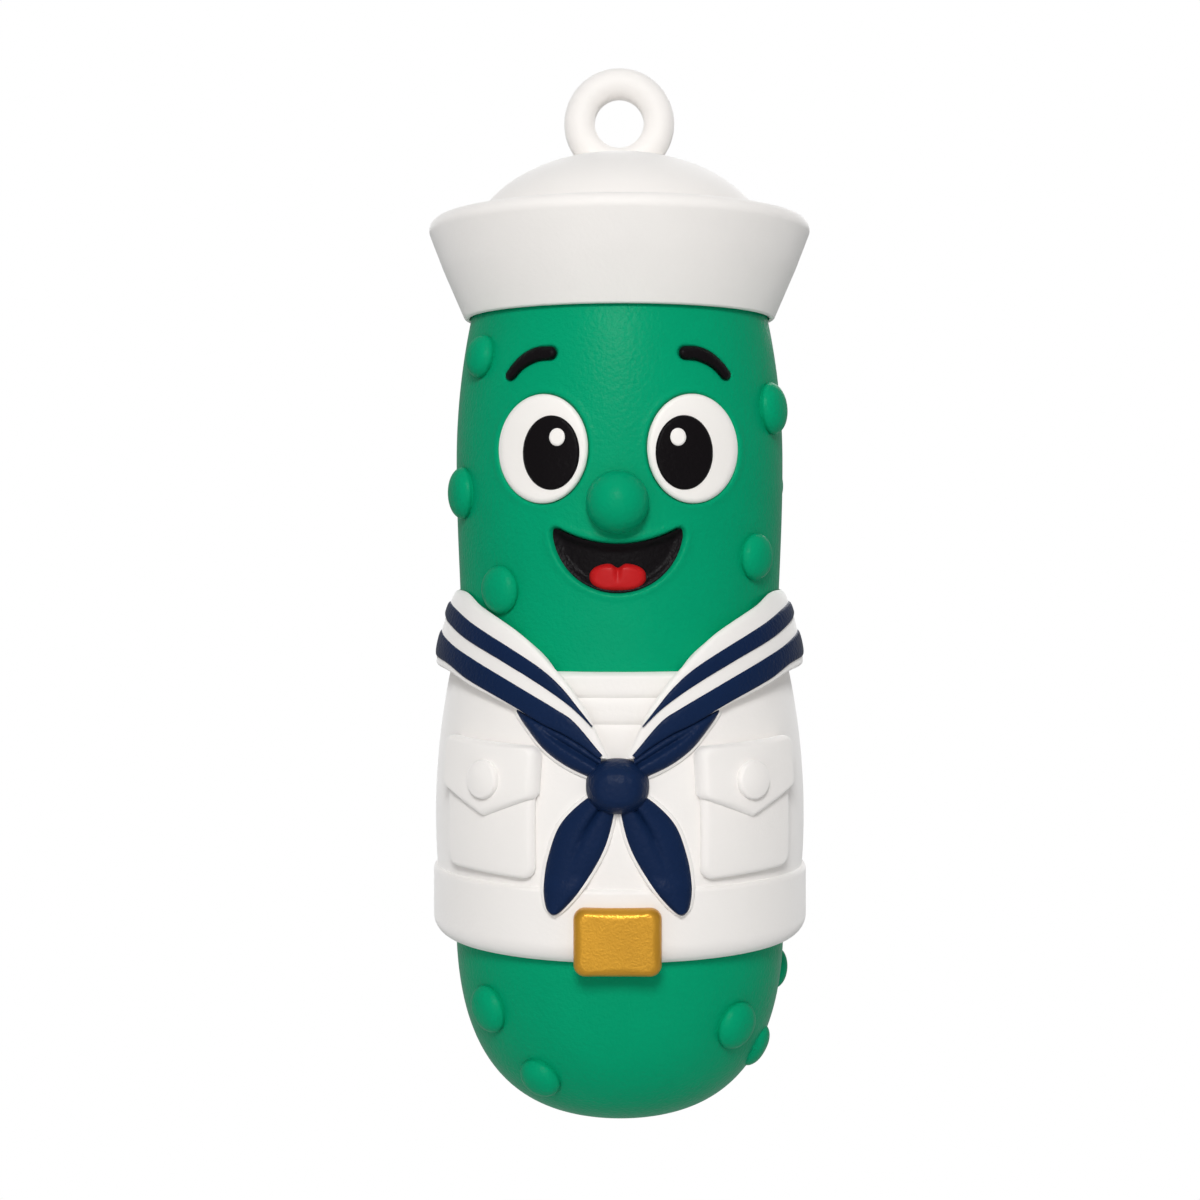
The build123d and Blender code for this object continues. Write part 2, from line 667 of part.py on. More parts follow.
# Eyes: an oval white inlaid in the head, a pupil inlaid in the white and a glint in the pupil
for side, sign in SIDES:
    white_place = (sign * EYE_ACROSS, HAT_EDGE - EYE_DROP, EYE_WIDTH, EYE_HEIGHT)
    pupil_place = (sign * PUPIL_ACROSS, HAT_EDGE - PUPIL_DROP, PUPIL_WIDTH, PUPIL_HEIGHT)
    glint_place = (sign * GLINT_ACROSS, HAT_EDGE - GLINT_DROP, GLINT_WIDTH, GLINT_HEIGHT)
    pupil_top = EYE_RISE + PUPIL_RISE
    with BuildPart() as eye_white:
        extrude(oval(*white_place), amount=REACH)
        add(head_skin(EYE_RISE), mode=Mode.INTERSECT)
        add(head_skin(-EYE_SEAT), mode=Mode.SUBTRACT)
        pupil_floor = head_skin(EYE_RISE - PUPIL_SEAT - GLUE_GAP)
        add(recess(oval(*pupil_place, GLUE_GAP), pupil_floor), mode=Mode.SUBTRACT)
    eye_white.part.label = f"eye_white_{side}"
    export_step(eye_white.part, f"parts/eye_white_{side}.step")

    with BuildPart() as pupil:
        extrude(oval(*pupil_place), amount=REACH)
        add(head_skin(pupil_top), mode=Mode.INTERSECT)
        add(head_skin(EYE_RISE - PUPIL_SEAT), mode=Mode.SUBTRACT)
        glint_floor = head_skin(pupil_top - GLINT_SEAT - GLUE_GAP)
        add(recess(oval(*glint_place, GLUE_GAP), glint_floor), mode=Mode.SUBTRACT)
    pupil.part.label = f"pupil_{side}"
    export_step(pupil.part, f"parts/pupil_{side}.step")

    with BuildPart() as glint:
        extrude(oval(*glint_place), amount=REACH)
        add(head_skin(pupil_top + GLINT_RISE), mode=Mode.INTERSECT)
        add(head_skin(pupil_top - GLINT_SEAT), mode=Mode.SUBTRACT)
    glint.part.label = f"glint_{side}"
    export_step(glint.part, f"parts/glint_{side}.step")

    with BuildPart() as eyebrow:
        extrude(brow_outline(sign), amount=REACH)
        add(head_skin(BROW_RISE), mode=Mode.INTERSECT)
        add(head_skin(-BROW_SEAT), mode=Mode.SUBTRACT)
    eyebrow.part.label = f"eyebrow_{side}"
    export_step(eyebrow.part, f"parts/eyebrow_{side}.step")

    sockets.append(recess(oval(*white_place, GLUE_GAP), head_skin(-EYE_SEAT - GLUE_GAP)))
    sockets.append(recess(brow_outline(sign, GLUE_GAP), head_skin(-BROW_SEAT - GLUE_GAP)))

# Mouth: a black lining on the floor of a recess, with the tongue on it
LINING_BACK = MOUTH_DEPTH + LINING_THICKNESS
with BuildPart() as mouth_lining:
    extrude(mouth_outline(), amount=REACH)
    add(head_skin(-MOUTH_DEPTH), mode=Mode.INTERSECT)
    add(head_skin(-LINING_BACK), mode=Mode.SUBTRACT)
mouth_lining.part.label = "mouth_lining"
export_step(mouth_lining.part, "parts/mouth_lining.step")
sockets.append(recess(mouth_outline(GLUE_GAP), head_skin(-LINING_BACK - GLUE_GAP)))

with BuildPart() as tongue:
    with BuildSketch(Plane.XZ):
        lobe_across = TONGUE_WIDTH / 2 - TONGUE_LOBE_RADIUS
        lobe_level = HAT_EDGE - MOUTH_CORNER_DROP - TONGUE_SAG
        with Locations((-lobe_across, lobe_level), (lobe_across, lobe_level)):
            Circle(TONGUE_LOBE_RADIUS)
        with Locations((0, lobe_level)):
            Rectangle(TONGUE_WIDTH, MOUTH_BOTTOM_SAG, align=(Align.CENTER, Align.MAX))
        add(mouth_outline(-TONGUE_MARGIN), mode=Mode.INTERSECT)
    extrude(amount=REACH)
    add(head_skin(TONGUE_RISE - MOUTH_DEPTH), mode=Mode.INTERSECT)
    add(head_skin(GLUE_GAP - MOUTH_DEPTH), mode=Mode.SUBTRACT)
tongue.part.label = "tongue"
export_step(tongue.part, "parts/tongue.step")

# Pickle body: one hollow shell from the flanged neck to the rounded lower end
with BuildPart() as pickle_body:
    with BuildSketch(Plane.XZ):
        skin = pickle_points(HAT_EDGE, 0)
        lining = pickle_points(SHOULDER - BODY_WALL, BODY_WALL)
        flange_radius = NECK_RADIUS + NECK_FLANGE
        with BuildLine():
            Spline(*skin, tangents=[(skin[1][0] - skin[0][0], skin[1][1] - skin[0][1]), (-1, 0)])
            Line(skin[-1], lining[-1])
            Spline(*lining, tangents=[(lining[1][0] - lining[0][0], lining[1][1] - lining[0][1]), (-1, 0)])
            Polyline(
                lining[0],
                (NECK_BORE_RADIUS, lining[0][1]),
                (NECK_BORE_RADIUS, NECK_TOP),
                (NECK_RADIUS, NECK_TOP),
                (flange_radius, NECK_TOP - NECK_FLANGE_HEIGHT / 2),
                (flange_radius, FLANGE_BOTTOM),
                (NECK_RADIUS, FLANGE_BOTTOM),
                (NECK_RADIUS, SHOULDER),
                (HEAD_EDGE_RADIUS, SHOULDER),
                skin[0],
            )
        make_face()
    revolve(axis=Axis.Z)
    for socket in sockets:
        add(socket, mode=Mode.SUBTRACT)
pickle_body.part.label = "pickle_body"
export_step(pickle_body.part, "parts/pickle_body.step")

# Undershirt: a ribbed front that shows in the V of the jumper
V_LOW = NECKLINE - UNDERSHIRT_DEPTH
V_SLOPE = UNDERSHIRT_HALF_WIDTH / UNDERSHIRT_DEPTH
with BuildPart() as undershirt:
    with BuildSketch(Plane.XZ):
        with BuildLine():
            v_left = (-UNDERSHIRT_HALF_WIDTH, NECKLINE)
            v_right = (UNDERSHIRT_HALF_WIDTH, NECKLINE)
            Polyline(v_left, (0, V_LOW), v_right, close=True)
        make_face()
    extrude(amount=REACH)
    add(head_skin(UNDERSHIRT_THICKNESS), mode=Mode.INTERSECT)
    add(head_skin(GLUE_GAP), mode=Mode.SUBTRACT)
    for rib_drop in RIB_DROPS:
        with BuildSketch(Plane.XZ):
            rib_level = NECKLINE - rib_drop
            with Locations((pickle_radius(rib_level) + UNDERSHIRT_THICKNESS, rib_level)):
                Circle(RIB_GROOVE_RADIUS)
        revolve(axis=Axis.Z, mode=Mode.SUBTRACT)
undershirt.part.label = "undershirt"
export_step(undershirt.part, "parts/undershirt.step")

# Jumper: a bellied sleeve round the body, cut open in a V, with a rebate for the waistband
with BuildPart() as jumper:
    with BuildSketch(Plane.XZ):
        outside = wall_points(jumper_radius, JUMPER_TOP, WAIST_TOP + GLUE_GAP)
        inside = wall_points(pickle_radius, JUMPER_TOP, JUMPER_BOTTOM, GLUE_GAP)
        rebate = WAIST_RADIUS - WAIST_REBATE
        with BuildLine():
            Spline(*outside)
            Polyline(outside[-1], (rebate, outside[-1][1]), (rebate, JUMPER_BOTTOM), inside[-1])
            Spline(*inside)
            Line(inside[0], outside[0])
        make_face()
    revolve(axis=Axis.Z)
    with BuildSketch(Plane.XZ):
        v_top = JUMPER_TOP + GLUE_GAP
        v_low = V_LOW - GLUE_GAP / V_SLOPE
        with BuildLine():
            v_half = V_SLOPE * (v_top - v_low) + GLUE_GAP
            Polyline((-v_half, v_top), (0, v_low), (v_half, v_top), close=True)
        make_face()
    extrude(amount=REACH, mode=Mode.SUBTRACT)
    for _, sign in SIDES:
        add(button_hole(sign), mode=Mode.SUBTRACT)
jumper.part.label = "jumper"
export_step(jumper.part, "parts/jumper.step")

# Waistband: a ring over the jumper's rebate, with a lip that closes on the body
with BuildPart() as waistband:
    with BuildSketch(Plane.XZ) as band_section:
        band_inside = WAIST_RADIUS - WAIST_REBATE + GLUE_GAP
        lip_top = JUMPER_BOTTOM - GLUE_GAP
        with BuildLine():
            Polyline(
                (band_inside, WAIST_TOP),
                (WAIST_RADIUS, WAIST_TOP),
                (WAIST_RADIUS, WAIST_BOTTOM),
                (pickle_radius(lip_top) + GLUE_GAP, WAIST_BOTTOM),
                (pickle_radius(lip_top) + GLUE_GAP, lip_top),
                (band_inside, lip_top),
                close=True,
            )
        make_face()
        fillet(band_section.vertices().group_by(Axis.Y)[-1].sort_by(Axis.X)[-1], WAIST_TOP_ROUND)
        fillet(band_section.vertices().group_by(Axis.Y)[0].sort_by(Axis.X)[-1], WAIST_BOTTOM_ROUND)
    revolve(axis=Axis.Z)
waistband.part.label = "waistband"
export_step(waistband.part, "parts/waistband.step")

# Sailor collar: lapels in front and a square flap behind, over the jumper's top
OUTER_STRIPE_START = STRIPE_LIP
INNER_STRIPE_START = STRIPE_LIP + STRIPE_WIDTH + STRIPE_SPACING
STRIPES = (("outer", OUTER_STRIPE_START), ("inner", INNER_STRIPE_START))
with BuildPart() as collar:
    for _, sign in SIDES:
        extrude(lapel_outline(sign), amount=REACH)
    extrude(back_outline(), amount=-REACH)
    add(collar_skin(0), mode=Mode.INTERSECT)
    add(head_skin(GLUE_GAP), mode=Mode.SUBTRACT)
    add(jumper_skin(GLUE_GAP), mode=Mode.SUBTRACT)
    for _, start in STRIPES:
        add(stripe_groove(start), mode=Mode.SUBTRACT)
collar.part.label = "collar"
export_step(collar.part, "parts/collar.step")

# Collar stripes: two navy bands in grooves round the collar
for stripe_name, start in STRIPES:
    with BuildPart() as stripe:
        add(stripe_solid(start, STRIPE_WIDTH))
        add(collar_skin(STRIPE_RISE), mode=Mode.INTERSECT)
        add(collar_skin(-STRIPE_SEAT), mode=Mode.SUBTRACT)
    stripe.part.label = f"collar_stripe_{stripe_name}"
    export_step(stripe.part, f"parts/collar_stripe_{stripe_name}.step")

# Neckerchief knot: a rounded lump where the lapels meet
KNOT_LEVEL = NECKLINE - KNOT_DROP
with BuildPart() as kerchief_knot:
    extrude(oval(0, KNOT_LEVEL, KNOT_WIDTH, KNOT_HEIGHT), amount=jumper_radius(KNOT_LEVEL) + KNOT_RISE)
    add(jumper_skin(GLUE_GAP), mode=Mode.SUBTRACT)
    fillet(kerchief_knot.faces().sort_by(Axis.Y)[0].edges(), KNOT_ROUND)
kerchief_knot.part.label = "kerchief_knot"
export_step(kerchief_knot.part, "parts/kerchief_knot.step")

# Neckerchief wings and tails, either side of the knot
knot_room = oval(0, KNOT_LEVEL, KNOT_WIDTH, KNOT_HEIGHT, KERCHIEF_SEAM)
with BuildPart() as tail_seat:
    add(jumper_skin(GLUE_GAP))
    with Locations((0, 0, WAIST_TOP + GLUE_GAP)):
        Cylinder(WAIST_RADIUS + GLUE_GAP, WAIST_HEIGHT, align=(Align.CENTER, Align.CENTER, Align.MAX))
for side, sign in SIDES:
    with BuildPart() as wing:
        with BuildSketch(Plane.XZ):
            add(wing_outline(sign))
            add(knot_room, mode=Mode.SUBTRACT)
        extrude(amount=REACH)
        add(jumper_skin(WING_RISE), mode=Mode.INTERSECT)
        add(jumper_skin(GLUE_GAP), mode=Mode.SUBTRACT)
    wing.part.label = f"kerchief_wing_{side}"
    export_step(wing.part, f"parts/kerchief_wing_{side}.step")

    with BuildPart() as tail:
        with BuildSketch(Plane.XZ):
            outer = figure_points(sign, NECKLINE, TAIL_OUTER_START)
            outer += figure_points(sign, WAIST_TOP, TAIL_OUTER_MIDDLE, TAIL_OUTER_END)
            tip = figure_points(sign, WAIST_TOP, TAIL_TIP)[0]
            inner = figure_points(sign, WAIST_TOP, TAIL_INNER_END, TAIL_INNER_MIDDLE)
            inner += figure_points(sign, NECKLINE, TAIL_INNER_START)
            with BuildLine():
                ThreePointArc(*outer)
                ThreePointArc(outer[-1], tip, inner[0])
                ThreePointArc(*inner)
                Polyline(inner[-1], (inner[-1][0], outer[0][1]), outer[0])
            make_face()
            add(knot_room, mode=Mode.SUBTRACT)
        extrude(amount=REACH)
        with Locations((0, 0, WAIST_TOP)):
            Cylinder(WAIST_RADIUS + TAIL_RISE, 2 * (JUMPER_HEIGHT + WAIST_HEIGHT), mode=Mode.INTERSECT)
        add(tail_seat.part, mode=Mode.SUBTRACT)
    tail.part.label = f"kerchief_tail_{side}"
    export_step(tail.part, f"parts/kerchief_tail_{side}.step")

# Pockets: a patch, a pointed flap over its top and a button pegged through both
for side, sign in SIDES:
    with BuildPart() as pocket:
        extrude(pocket_outline(sign), amount=REACH)
        add(jumper_skin(POCKET_RISE), mode=Mode.INTERSECT)
        add(jumper_skin(GLUE_GAP), mode=Mode.SUBTRACT)
        add(button_hole(sign), mode=Mode.SUBTRACT)
    pocket.part.label = f"pocket_{side}"
    export_step(pocket.part, f"parts/pocket_{side}.step")

    with BuildPart() as pocket_room:
        extrude(pocket_outline(sign, GLUE_GAP), amount=REACH)
        add(jumper_skin(POCKET_RISE + GLUE_GAP), mode=Mode.INTERSECT)

    with BuildPart() as pocket_flap:
        with BuildSketch(upright_plane(sign * POCKET_ANGLE)) as flap_outline:
            flap_top = NECKLINE - FLAP_DROP
            with BuildLine():
                Polyline(
                    (-FLAP_WIDTH / 2, flap_top),
                    (-FLAP_WIDTH / 2, flap_top - FLAP_SIDE),
                    (0, flap_top - FLAP_POINT),
                    (FLAP_WIDTH / 2, flap_top - FLAP_SIDE),
                    (FLAP_WIDTH / 2, flap_top),
                    close=True,
                )
            make_face()
            fillet(flap_outline.vertices(), FLAP_CORNER)
        extrude(amount=REACH)
        add(jumper_skin(FLAP_RISE), mode=Mode.INTERSECT)
        add(jumper_skin(GLUE_GAP), mode=Mode.SUBTRACT)
        add(pocket_room.part, mode=Mode.SUBTRACT)
        extrude(wing_outline(sign, KERCHIEF_SEAM), amount=REACH, mode=Mode.SUBTRACT)
        add(button_hole(sign), mode=Mode.SUBTRACT)
    pocket_flap.part.label = f"pocket_flap_{side}"
    export_step(pocket_flap.part, f"parts/pocket_flap_{side}.step")

    with BuildPart(button_plane(sign, FLAP_RISE + GLUE_GAP)) as pocket_button:
        Cylinder(BUTTON_RADIUS, BUTTON_HEIGHT, align=(Align.CENTER, Align.CENTER, Align.MIN))
        front_plane = button_plane(sign, FLAP_RISE + GLUE_GAP)
        rim = pocket_button.edges().sort_by(Axis(front_plane.origin, front_plane.z_dir))[-1]
        fillet(rim, BUTTON_ROUND)
        Cylinder(BUTTON_PEG_RADIUS, BUTTON_PEG_LENGTH, align=(Align.CENTER, Align.CENTER, Align.MAX))
    pocket_button.part.label = f"pocket_button_{side}"
    export_step(pocket_button.part, f"parts/pocket_button_{side}.step")

# Belt buckle: a rounded plate on the front of the waistband
with BuildPart() as belt_buckle:
    with BuildSketch(Plane.XZ):
        with Locations((0, WAIST_TOP - BUCKLE_DROP)):
            RectangleRounded(BUCKLE_WIDTH, BUCKLE_HEIGHT, BUCKLE_CORNER)
    extrude(amount=WAIST_RADIUS + BUCKLE_RISE)
    with Locations((0, 0, WAIST_TOP)):
        Cylinder(
            WAIST_RADIUS + GLUE_GAP,
            2 * WAIST_HEIGHT,
            align=(Align.CENTER, Align.CENTER, Align.MAX),
            mode=Mode.SUBTRACT,
        )
    fillet(belt_buckle.faces().sort_by(Axis.Y)[0].edges(), BUCKLE_ROUND)
belt_buckle.part.label = "belt_buckle"
export_step(belt_buckle.part, "parts/belt_buckle.step")
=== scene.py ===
import math

import bmesh
import bpy
import numpy as np
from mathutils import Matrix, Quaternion, Vector


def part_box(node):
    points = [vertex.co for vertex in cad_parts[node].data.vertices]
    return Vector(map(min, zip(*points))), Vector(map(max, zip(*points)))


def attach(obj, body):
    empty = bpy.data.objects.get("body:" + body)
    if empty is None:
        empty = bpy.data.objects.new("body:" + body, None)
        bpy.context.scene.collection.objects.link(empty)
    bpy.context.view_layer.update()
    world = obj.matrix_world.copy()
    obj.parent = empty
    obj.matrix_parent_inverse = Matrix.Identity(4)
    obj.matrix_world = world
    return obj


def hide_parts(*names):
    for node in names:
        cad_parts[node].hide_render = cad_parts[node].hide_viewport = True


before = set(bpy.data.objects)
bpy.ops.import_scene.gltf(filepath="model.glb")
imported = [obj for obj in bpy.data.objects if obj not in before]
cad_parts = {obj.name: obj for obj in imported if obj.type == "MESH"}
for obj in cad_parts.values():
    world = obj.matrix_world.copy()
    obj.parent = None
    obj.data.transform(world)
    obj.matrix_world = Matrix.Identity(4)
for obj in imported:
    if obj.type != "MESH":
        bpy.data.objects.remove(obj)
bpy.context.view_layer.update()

# Hanging loop
# One round ring of white vinyl with a stem that is pushed down through the crown.
# Its hole keeps the clear width of the CAD hole for a cord or a hook.
MM = 0.001
WHITE = (241, 237, 233)
LOOP_HOLE = 2.68 * MM
LOOP_SECTION = 1.72 * MM
LOOP_RING = 4.3 * MM
LOOP_STEM = 1.4 * MM
LOOP_STEPS = 144
SECTION_STEPS = 56
STEM_STEPS = 40
CIRCLE = "GeometryNodeCurvePrimitiveCircle"
SWEEP = "GeometryNodeCurveToMesh"


def linear(colour):
    """Scene colour of an sRGB triplet from 0 to 255."""
    shares = [value / 255 for value in colour]
    return [s / 12.92 if s <= 0.04045 else ((s + 0.055) / 1.055) ** 2.4 for s in shares]


def wire(tree, kind, inputs, out=0, **settings):
    """Adds a node with its settings, sets or links its inputs, and gives one of its outputs."""
    node = tree.nodes.new(kind)
    for setting, value in settings.items():
        setattr(node, setting, value)
    for socket, value in inputs.items():
        if isinstance(value, bpy.types.NodeSocket):
            tree.links.new(value, node.inputs[socket])
        else:
            node.inputs[socket].default_value = value
    return node.outputs[out]


def vinyl(name, colour, roughness, grain, mottle, metal=0.0, gloss=0.15, fuzz=0.0, fineness=2300):
    """Moulded vinyl or paint: an orange-peel grain, and colour and gloss that are faintly uneven."""
    cloud_scale = 160
    fuzz_roughness = 0.6
    uneven = 0.06
    grain_depth = 0.1 * MM
    material = bpy.data.materials.new(name)
    material.use_nodes = True
    tree = material.node_tree
    shader = tree.nodes["Principled BSDF"].inputs
    shader["Metallic"].default_value = metal
    shader["Specular IOR Level"].default_value = gloss
    shader["Sheen Weight"].default_value = fuzz
    shader["Sheen Roughness"].default_value = fuzz_roughness
    place = wire(tree, "ShaderNodeTexCoord", {}, out="Object")

    base = linear(colour)
    darker = [*[value * (1 - mottle) for value in base], 1]
    lighter = [*[min(1.0, value * (1 + mottle)) for value in base], 1]
    cloud = wire(tree, "ShaderNodeTexNoise", {"Vector": place, "Scale": cloud_scale, "Detail": 4})
    tint = wire(tree, "ShaderNodeMix", {0: cloud, 6: darker, 7: lighter}, out=2, data_type="RGBA")
    tree.links.new(tint, shader["Base Color"])

    peel = wire(tree, "ShaderNodeTexNoise", {"Vector": place, "Scale": fineness, "Detail": 2})
    limits = {"To Min": roughness - uneven, "To Max": roughness + uneven}
    dullness = wire(tree, "ShaderNodeMapRange", {"Value": peel, **limits})
    tree.links.new(dullness, shader["Roughness"])
    relief = wire(tree, "ShaderNodeBump", {"Height": peel, "Strength": grain, "Distance": grain_depth})
    tree.links.new(relief, shader["Normal"])
    return material


def new_tree(name, inputs):
    """Geometry node tree with a geometry input, named inputs and a geometry output."""
    tree = bpy.data.node_groups.new(name, "GeometryNodeTree")
    tree.interface.new_socket("Geometry", in_out="INPUT", socket_type="NodeSocketGeometry")
    tree.interface.new_socket("Geometry", in_out="OUTPUT", socket_type="NodeSocketGeometry")
    for label, kind in inputs:
        tree.interface.new_socket(label, in_out="INPUT", socket_type=kind)
    return tree, tree.nodes.new("NodeGroupInput").outputs


def close_tree(tree, given, shape):
    """Ends a tree: its instances are made real, shaded smooth and given the material."""
    plain = wire(tree, "GeometryNodeRealizeInstances", {"Geometry": shape})
    smooth = wire(tree, "GeometryNodeSetShadeSmooth", {"Geometry": plain})
    finish = wire(tree, "GeometryNodeSetMaterial", {"Geometry": smooth, "Material": given["Material"]})
    tree.links.new(finish, tree.nodes.new("NodeGroupOutput").inputs["Geometry"])


def settle(name, carrier_mesh, tree, values, body, nodes):
    """Evaluates a tree on a mesh and keeps the result as a plain piece that rides a body."""
    piece = bpy.data.objects.new(name, carrier_mesh)
    bpy.context.collection.objects.link(piece)
    modifier = piece.modifiers.new("shape", "NODES")
    modifier.node_group = tree
    for item in tree.interface.items_tree:
        if item.in_out == "INPUT" and item.name in values:
            modifier[item.identifier] = values[item.name]
    graph = bpy.context.evaluated_depsgraph_get()
    made = bpy.data.meshes.new_from_object(piece.evaluated_get(graph), depsgraph=graph)
    piece.modifiers.clear()
    piece.data = made
    made.name = name
    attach(piece, body)
    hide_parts(*nodes)
    return piece


white_vinyl = vinyl("white vinyl", WHITE, roughness=0.52, grain=0.22, mottle=0.02, gloss=0.2, fuzz=0.8)
loop_sizes = {
    "Ring radius": LOOP_RING,
    "Section radius": LOOP_SECTION,
    "Hole radius": LOOP_HOLE,
    "Stem radius": LOOP_STEM,
    "Stem end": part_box("hanging_loop")[0].z,
}
loop_inputs = [(label, "NodeSocketFloat") for label in loop_sizes]
tree, given = new_tree("ring on a stem", [*loop_inputs, ("Material", "NodeSocketMaterial")])
ring = wire(tree, CIRCLE, {"Resolution": LOOP_STEPS, "Radius": given["Ring radius"]})
upright = wire(tree, "GeometryNodeTransform", {"Geometry": ring, "Rotation": (math.pi / 2, 0, 0)})
section = wire(tree, CIRCLE, {"Resolution": SECTION_STEPS, "Radius": given["Section radius"]})
sweep = wire(tree, SWEEP, {"Curve": upright, "Profile Curve": section})
where = wire(tree, "GeometryNodeInputPosition", {})
flat = wire(tree, "ShaderNodeVectorMath", {0: where, 1: (1, 0, 1)}, operation="MULTIPLY")
reach = wire(tree, "ShaderNodeVectorMath", {0: flat}, out="Value", operation="LENGTH")
clear = wire(tree, "ShaderNodeMath", {0: reach, 1: given["Hole radius"]}, operation="MAXIMUM")
stretch = wire(tree, "ShaderNodeMath", {0: clear, 1: reach}, operation="DIVIDE")
factor = wire(tree, "ShaderNodeCombineXYZ", {"X": stretch, "Y": 1, "Z": stretch})
moved = wire(tree, "ShaderNodeVectorMath", {0: where, 1: factor}, operation="MULTIPLY")
land = wire(tree, "GeometryNodeSetPosition", {"Geometry": sweep, "Position": moved})
stem_start = wire(tree, "ShaderNodeCombineXYZ", {"Z": given["Stem end"]})
ring_low = wire(tree, "ShaderNodeMath", {0: given["Ring radius"], 1: -1}, operation="MULTIPLY")
stem_stop = wire(tree, "ShaderNodeCombineXYZ", {"Z": ring_low})
stem_line = wire(tree, "GeometryNodeCurvePrimitiveLine", {"Start": stem_start, "End": stem_stop})
stem_round = wire(tree, CIRCLE, {"Resolution": STEM_STEPS, "Radius": given["Stem radius"]})
stem = wire(tree, SWEEP, {"Curve": stem_line, "Profile Curve": stem_round, "Fill Caps": True})
together = wire(tree, "GeometryNodeJoinGeometry", {"Geometry": land})
tree.links.new(stem, together.node.inputs["Geometry"])
close_tree(tree, given, together)
loop_values = {**loop_sizes, "Material": white_vinyl}
settle("loop", bpy.data.meshes.new("loop"), tree, loop_values, "hat", ["hanging_loop"])

# Loop retainer
# A steel push-on washer inside the hat that grips the loop's stem.
# It is never seen from outside, so the CAD mesh stays and only gets its finish.
STEEL = (150, 152, 155)
steel = vinyl("steel", STEEL, roughness=0.35, grain=0.1, mottle=0.04, metal=1.0)
retainer_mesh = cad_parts["loop_retainer"].data
retainer_mesh.materials.clear()
retainer_mesh.materials.append(steel)

# Hat crown
# A dome of white vinyl, moulded as one shell and pressed into the cuff.
# The loop's ring beds in its top, a little below the ring's hole.
CROWN_RADIUS = 16.5 * MM
CROWN_RISE = 10.8 * MM
CROWN_WALL = 1.8 * MM
CROWN_DROP = 0.65 * MM
TURNS = 192


def ringed(rings, closed=False):
    """Skin through rings of points. A ring of one point is a pole."""
    points = np.concatenate(rings)
    starts = np.cumsum([0] + [len(ring) for ring in rings])
    around = max(len(ring) for ring in rings)
    pairs = [(index, index + 1) for index in range(len(rings) - 1)]
    if closed:
        pairs.append((len(rings) - 1, 0))
    faces = []
    for first, second in pairs:
        for place in range(around):
            after = (place + 1) % around
            corners = []
            for ring, spot in ((first, place), (first, after), (second, after), (second, place)):
                corners.append(int(starts[ring]) + (spot if len(rings[ring]) > 1 else 0))
            faces.append(tuple(dict.fromkeys(corners)))
    return points, faces


def round_place(turn, level, radius):
    """Points at an angle from the front, a level and a distance from the figure's axis."""
    turn, level, radius = np.broadcast_arrays(turn, level, radius)
    return np.stack([radius * np.sin(turn), -radius * np.cos(turn), level], -1)


def turned(profile, closed=False, turns=TURNS):
    """Skin of a section, given as (radius, level) points, turned about the figure's axis."""
    angles = np.linspace(0, 2 * math.pi, turns, endpoint=False)
    rings = []
    for radius, level in profile:
        if radius < 1e-9:
            rings.append(np.array([[0, 0, level]]))
        else:
            rings.append(round_place(angles, level, radius))
    return ringed(rings, closed)


def rounded(corners, rounds, steps=7):
    """Closed section with its corners rounded, each by its own radius."""
    section = []
    count = len(corners)
    for index, radius in enumerate(rounds):
        corner = np.array(corners[index], float)
        if radius <= 0:
            section.append(corner)
            continue
        before = np.array(corners[index - 1], float) - corner
        after = np.array(corners[(index + 1) % count], float) - corner
        before /= np.linalg.norm(before)
        after /= np.linalg.norm(after)
        half = math.acos(float(np.clip(before @ after, -1, 1))) / 2
        start = corner + before * radius / math.tan(half)
        stop = corner + after * radius / math.tan(half)
        middle = (before + after) / np.linalg.norm(before + after)
        centre = corner + middle * radius / math.sin(half)
        for share in np.linspace(0, 1, steps):
            spoke = (start - centre) * (1 - share) + (stop - centre) * share
            section.append(centre + spoke * radius / np.linalg.norm(spoke))
    return section


def face_outwards(mesh):
    """Turns the faces of closed skins outwards."""
    shape = bmesh.new()
    shape.from_mesh(mesh)
    bmesh.ops.recalc_face_normals(shape, faces=shape.faces)
    shape.to_mesh(mesh)
    shape.free()


def add_piece(name, layers, body, nodes, crease=60):
    """Puts closed layers of mesh, each with its material, into one piece that rides a body."""
    mesh = bpy.data.meshes.new(name)
    points, faces, marks = [], [], []
    for index, (layer_points, layer_faces, material) in enumerate(layers):
        start = len(points)
        points.extend(map(tuple, layer_points))
        faces.extend(tuple(corner + start for corner in face) for face in layer_faces)
        marks.extend([index] * len(layer_faces))
        mesh.materials.append(material)
    mesh.from_pydata(points, [], faces)
    mesh.polygons.foreach_set("material_index", marks)
    face_outwards(mesh)
    mesh.shade_smooth()
    mesh.set_sharp_from_angle(angle=math.radians(crease))
    piece = bpy.data.objects.new(name, mesh)
    bpy.context.collection.objects.link(piece)
    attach(piece, body)
    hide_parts(*nodes)
    return piece


crown_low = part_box("hat_crown")[0].z
crown_base = -LOOP_HOLE - CROWN_DROP - CROWN_RISE
crown_hollow = CROWN_RADIUS - CROWN_WALL
crown_profile = []
for turn in np.linspace(math.pi / 2, 0, 40):
    crown_profile.append((CROWN_RADIUS * math.cos(turn), crown_base + CROWN_RISE * math.sin(turn)))
crown_profile += [(CROWN_RADIUS, crown_low), (crown_hollow, crown_low)]
for turn in np.linspace(0, math.pi / 2, 24):
    level = crown_base + (CROWN_RISE - CROWN_WALL) * math.sin(turn)
    crown_profile.append((crown_hollow * math.cos(turn), level))
add_piece("crown", [(*turned(crown_profile), white_vinyl)], "hat", ["hat_crown"])

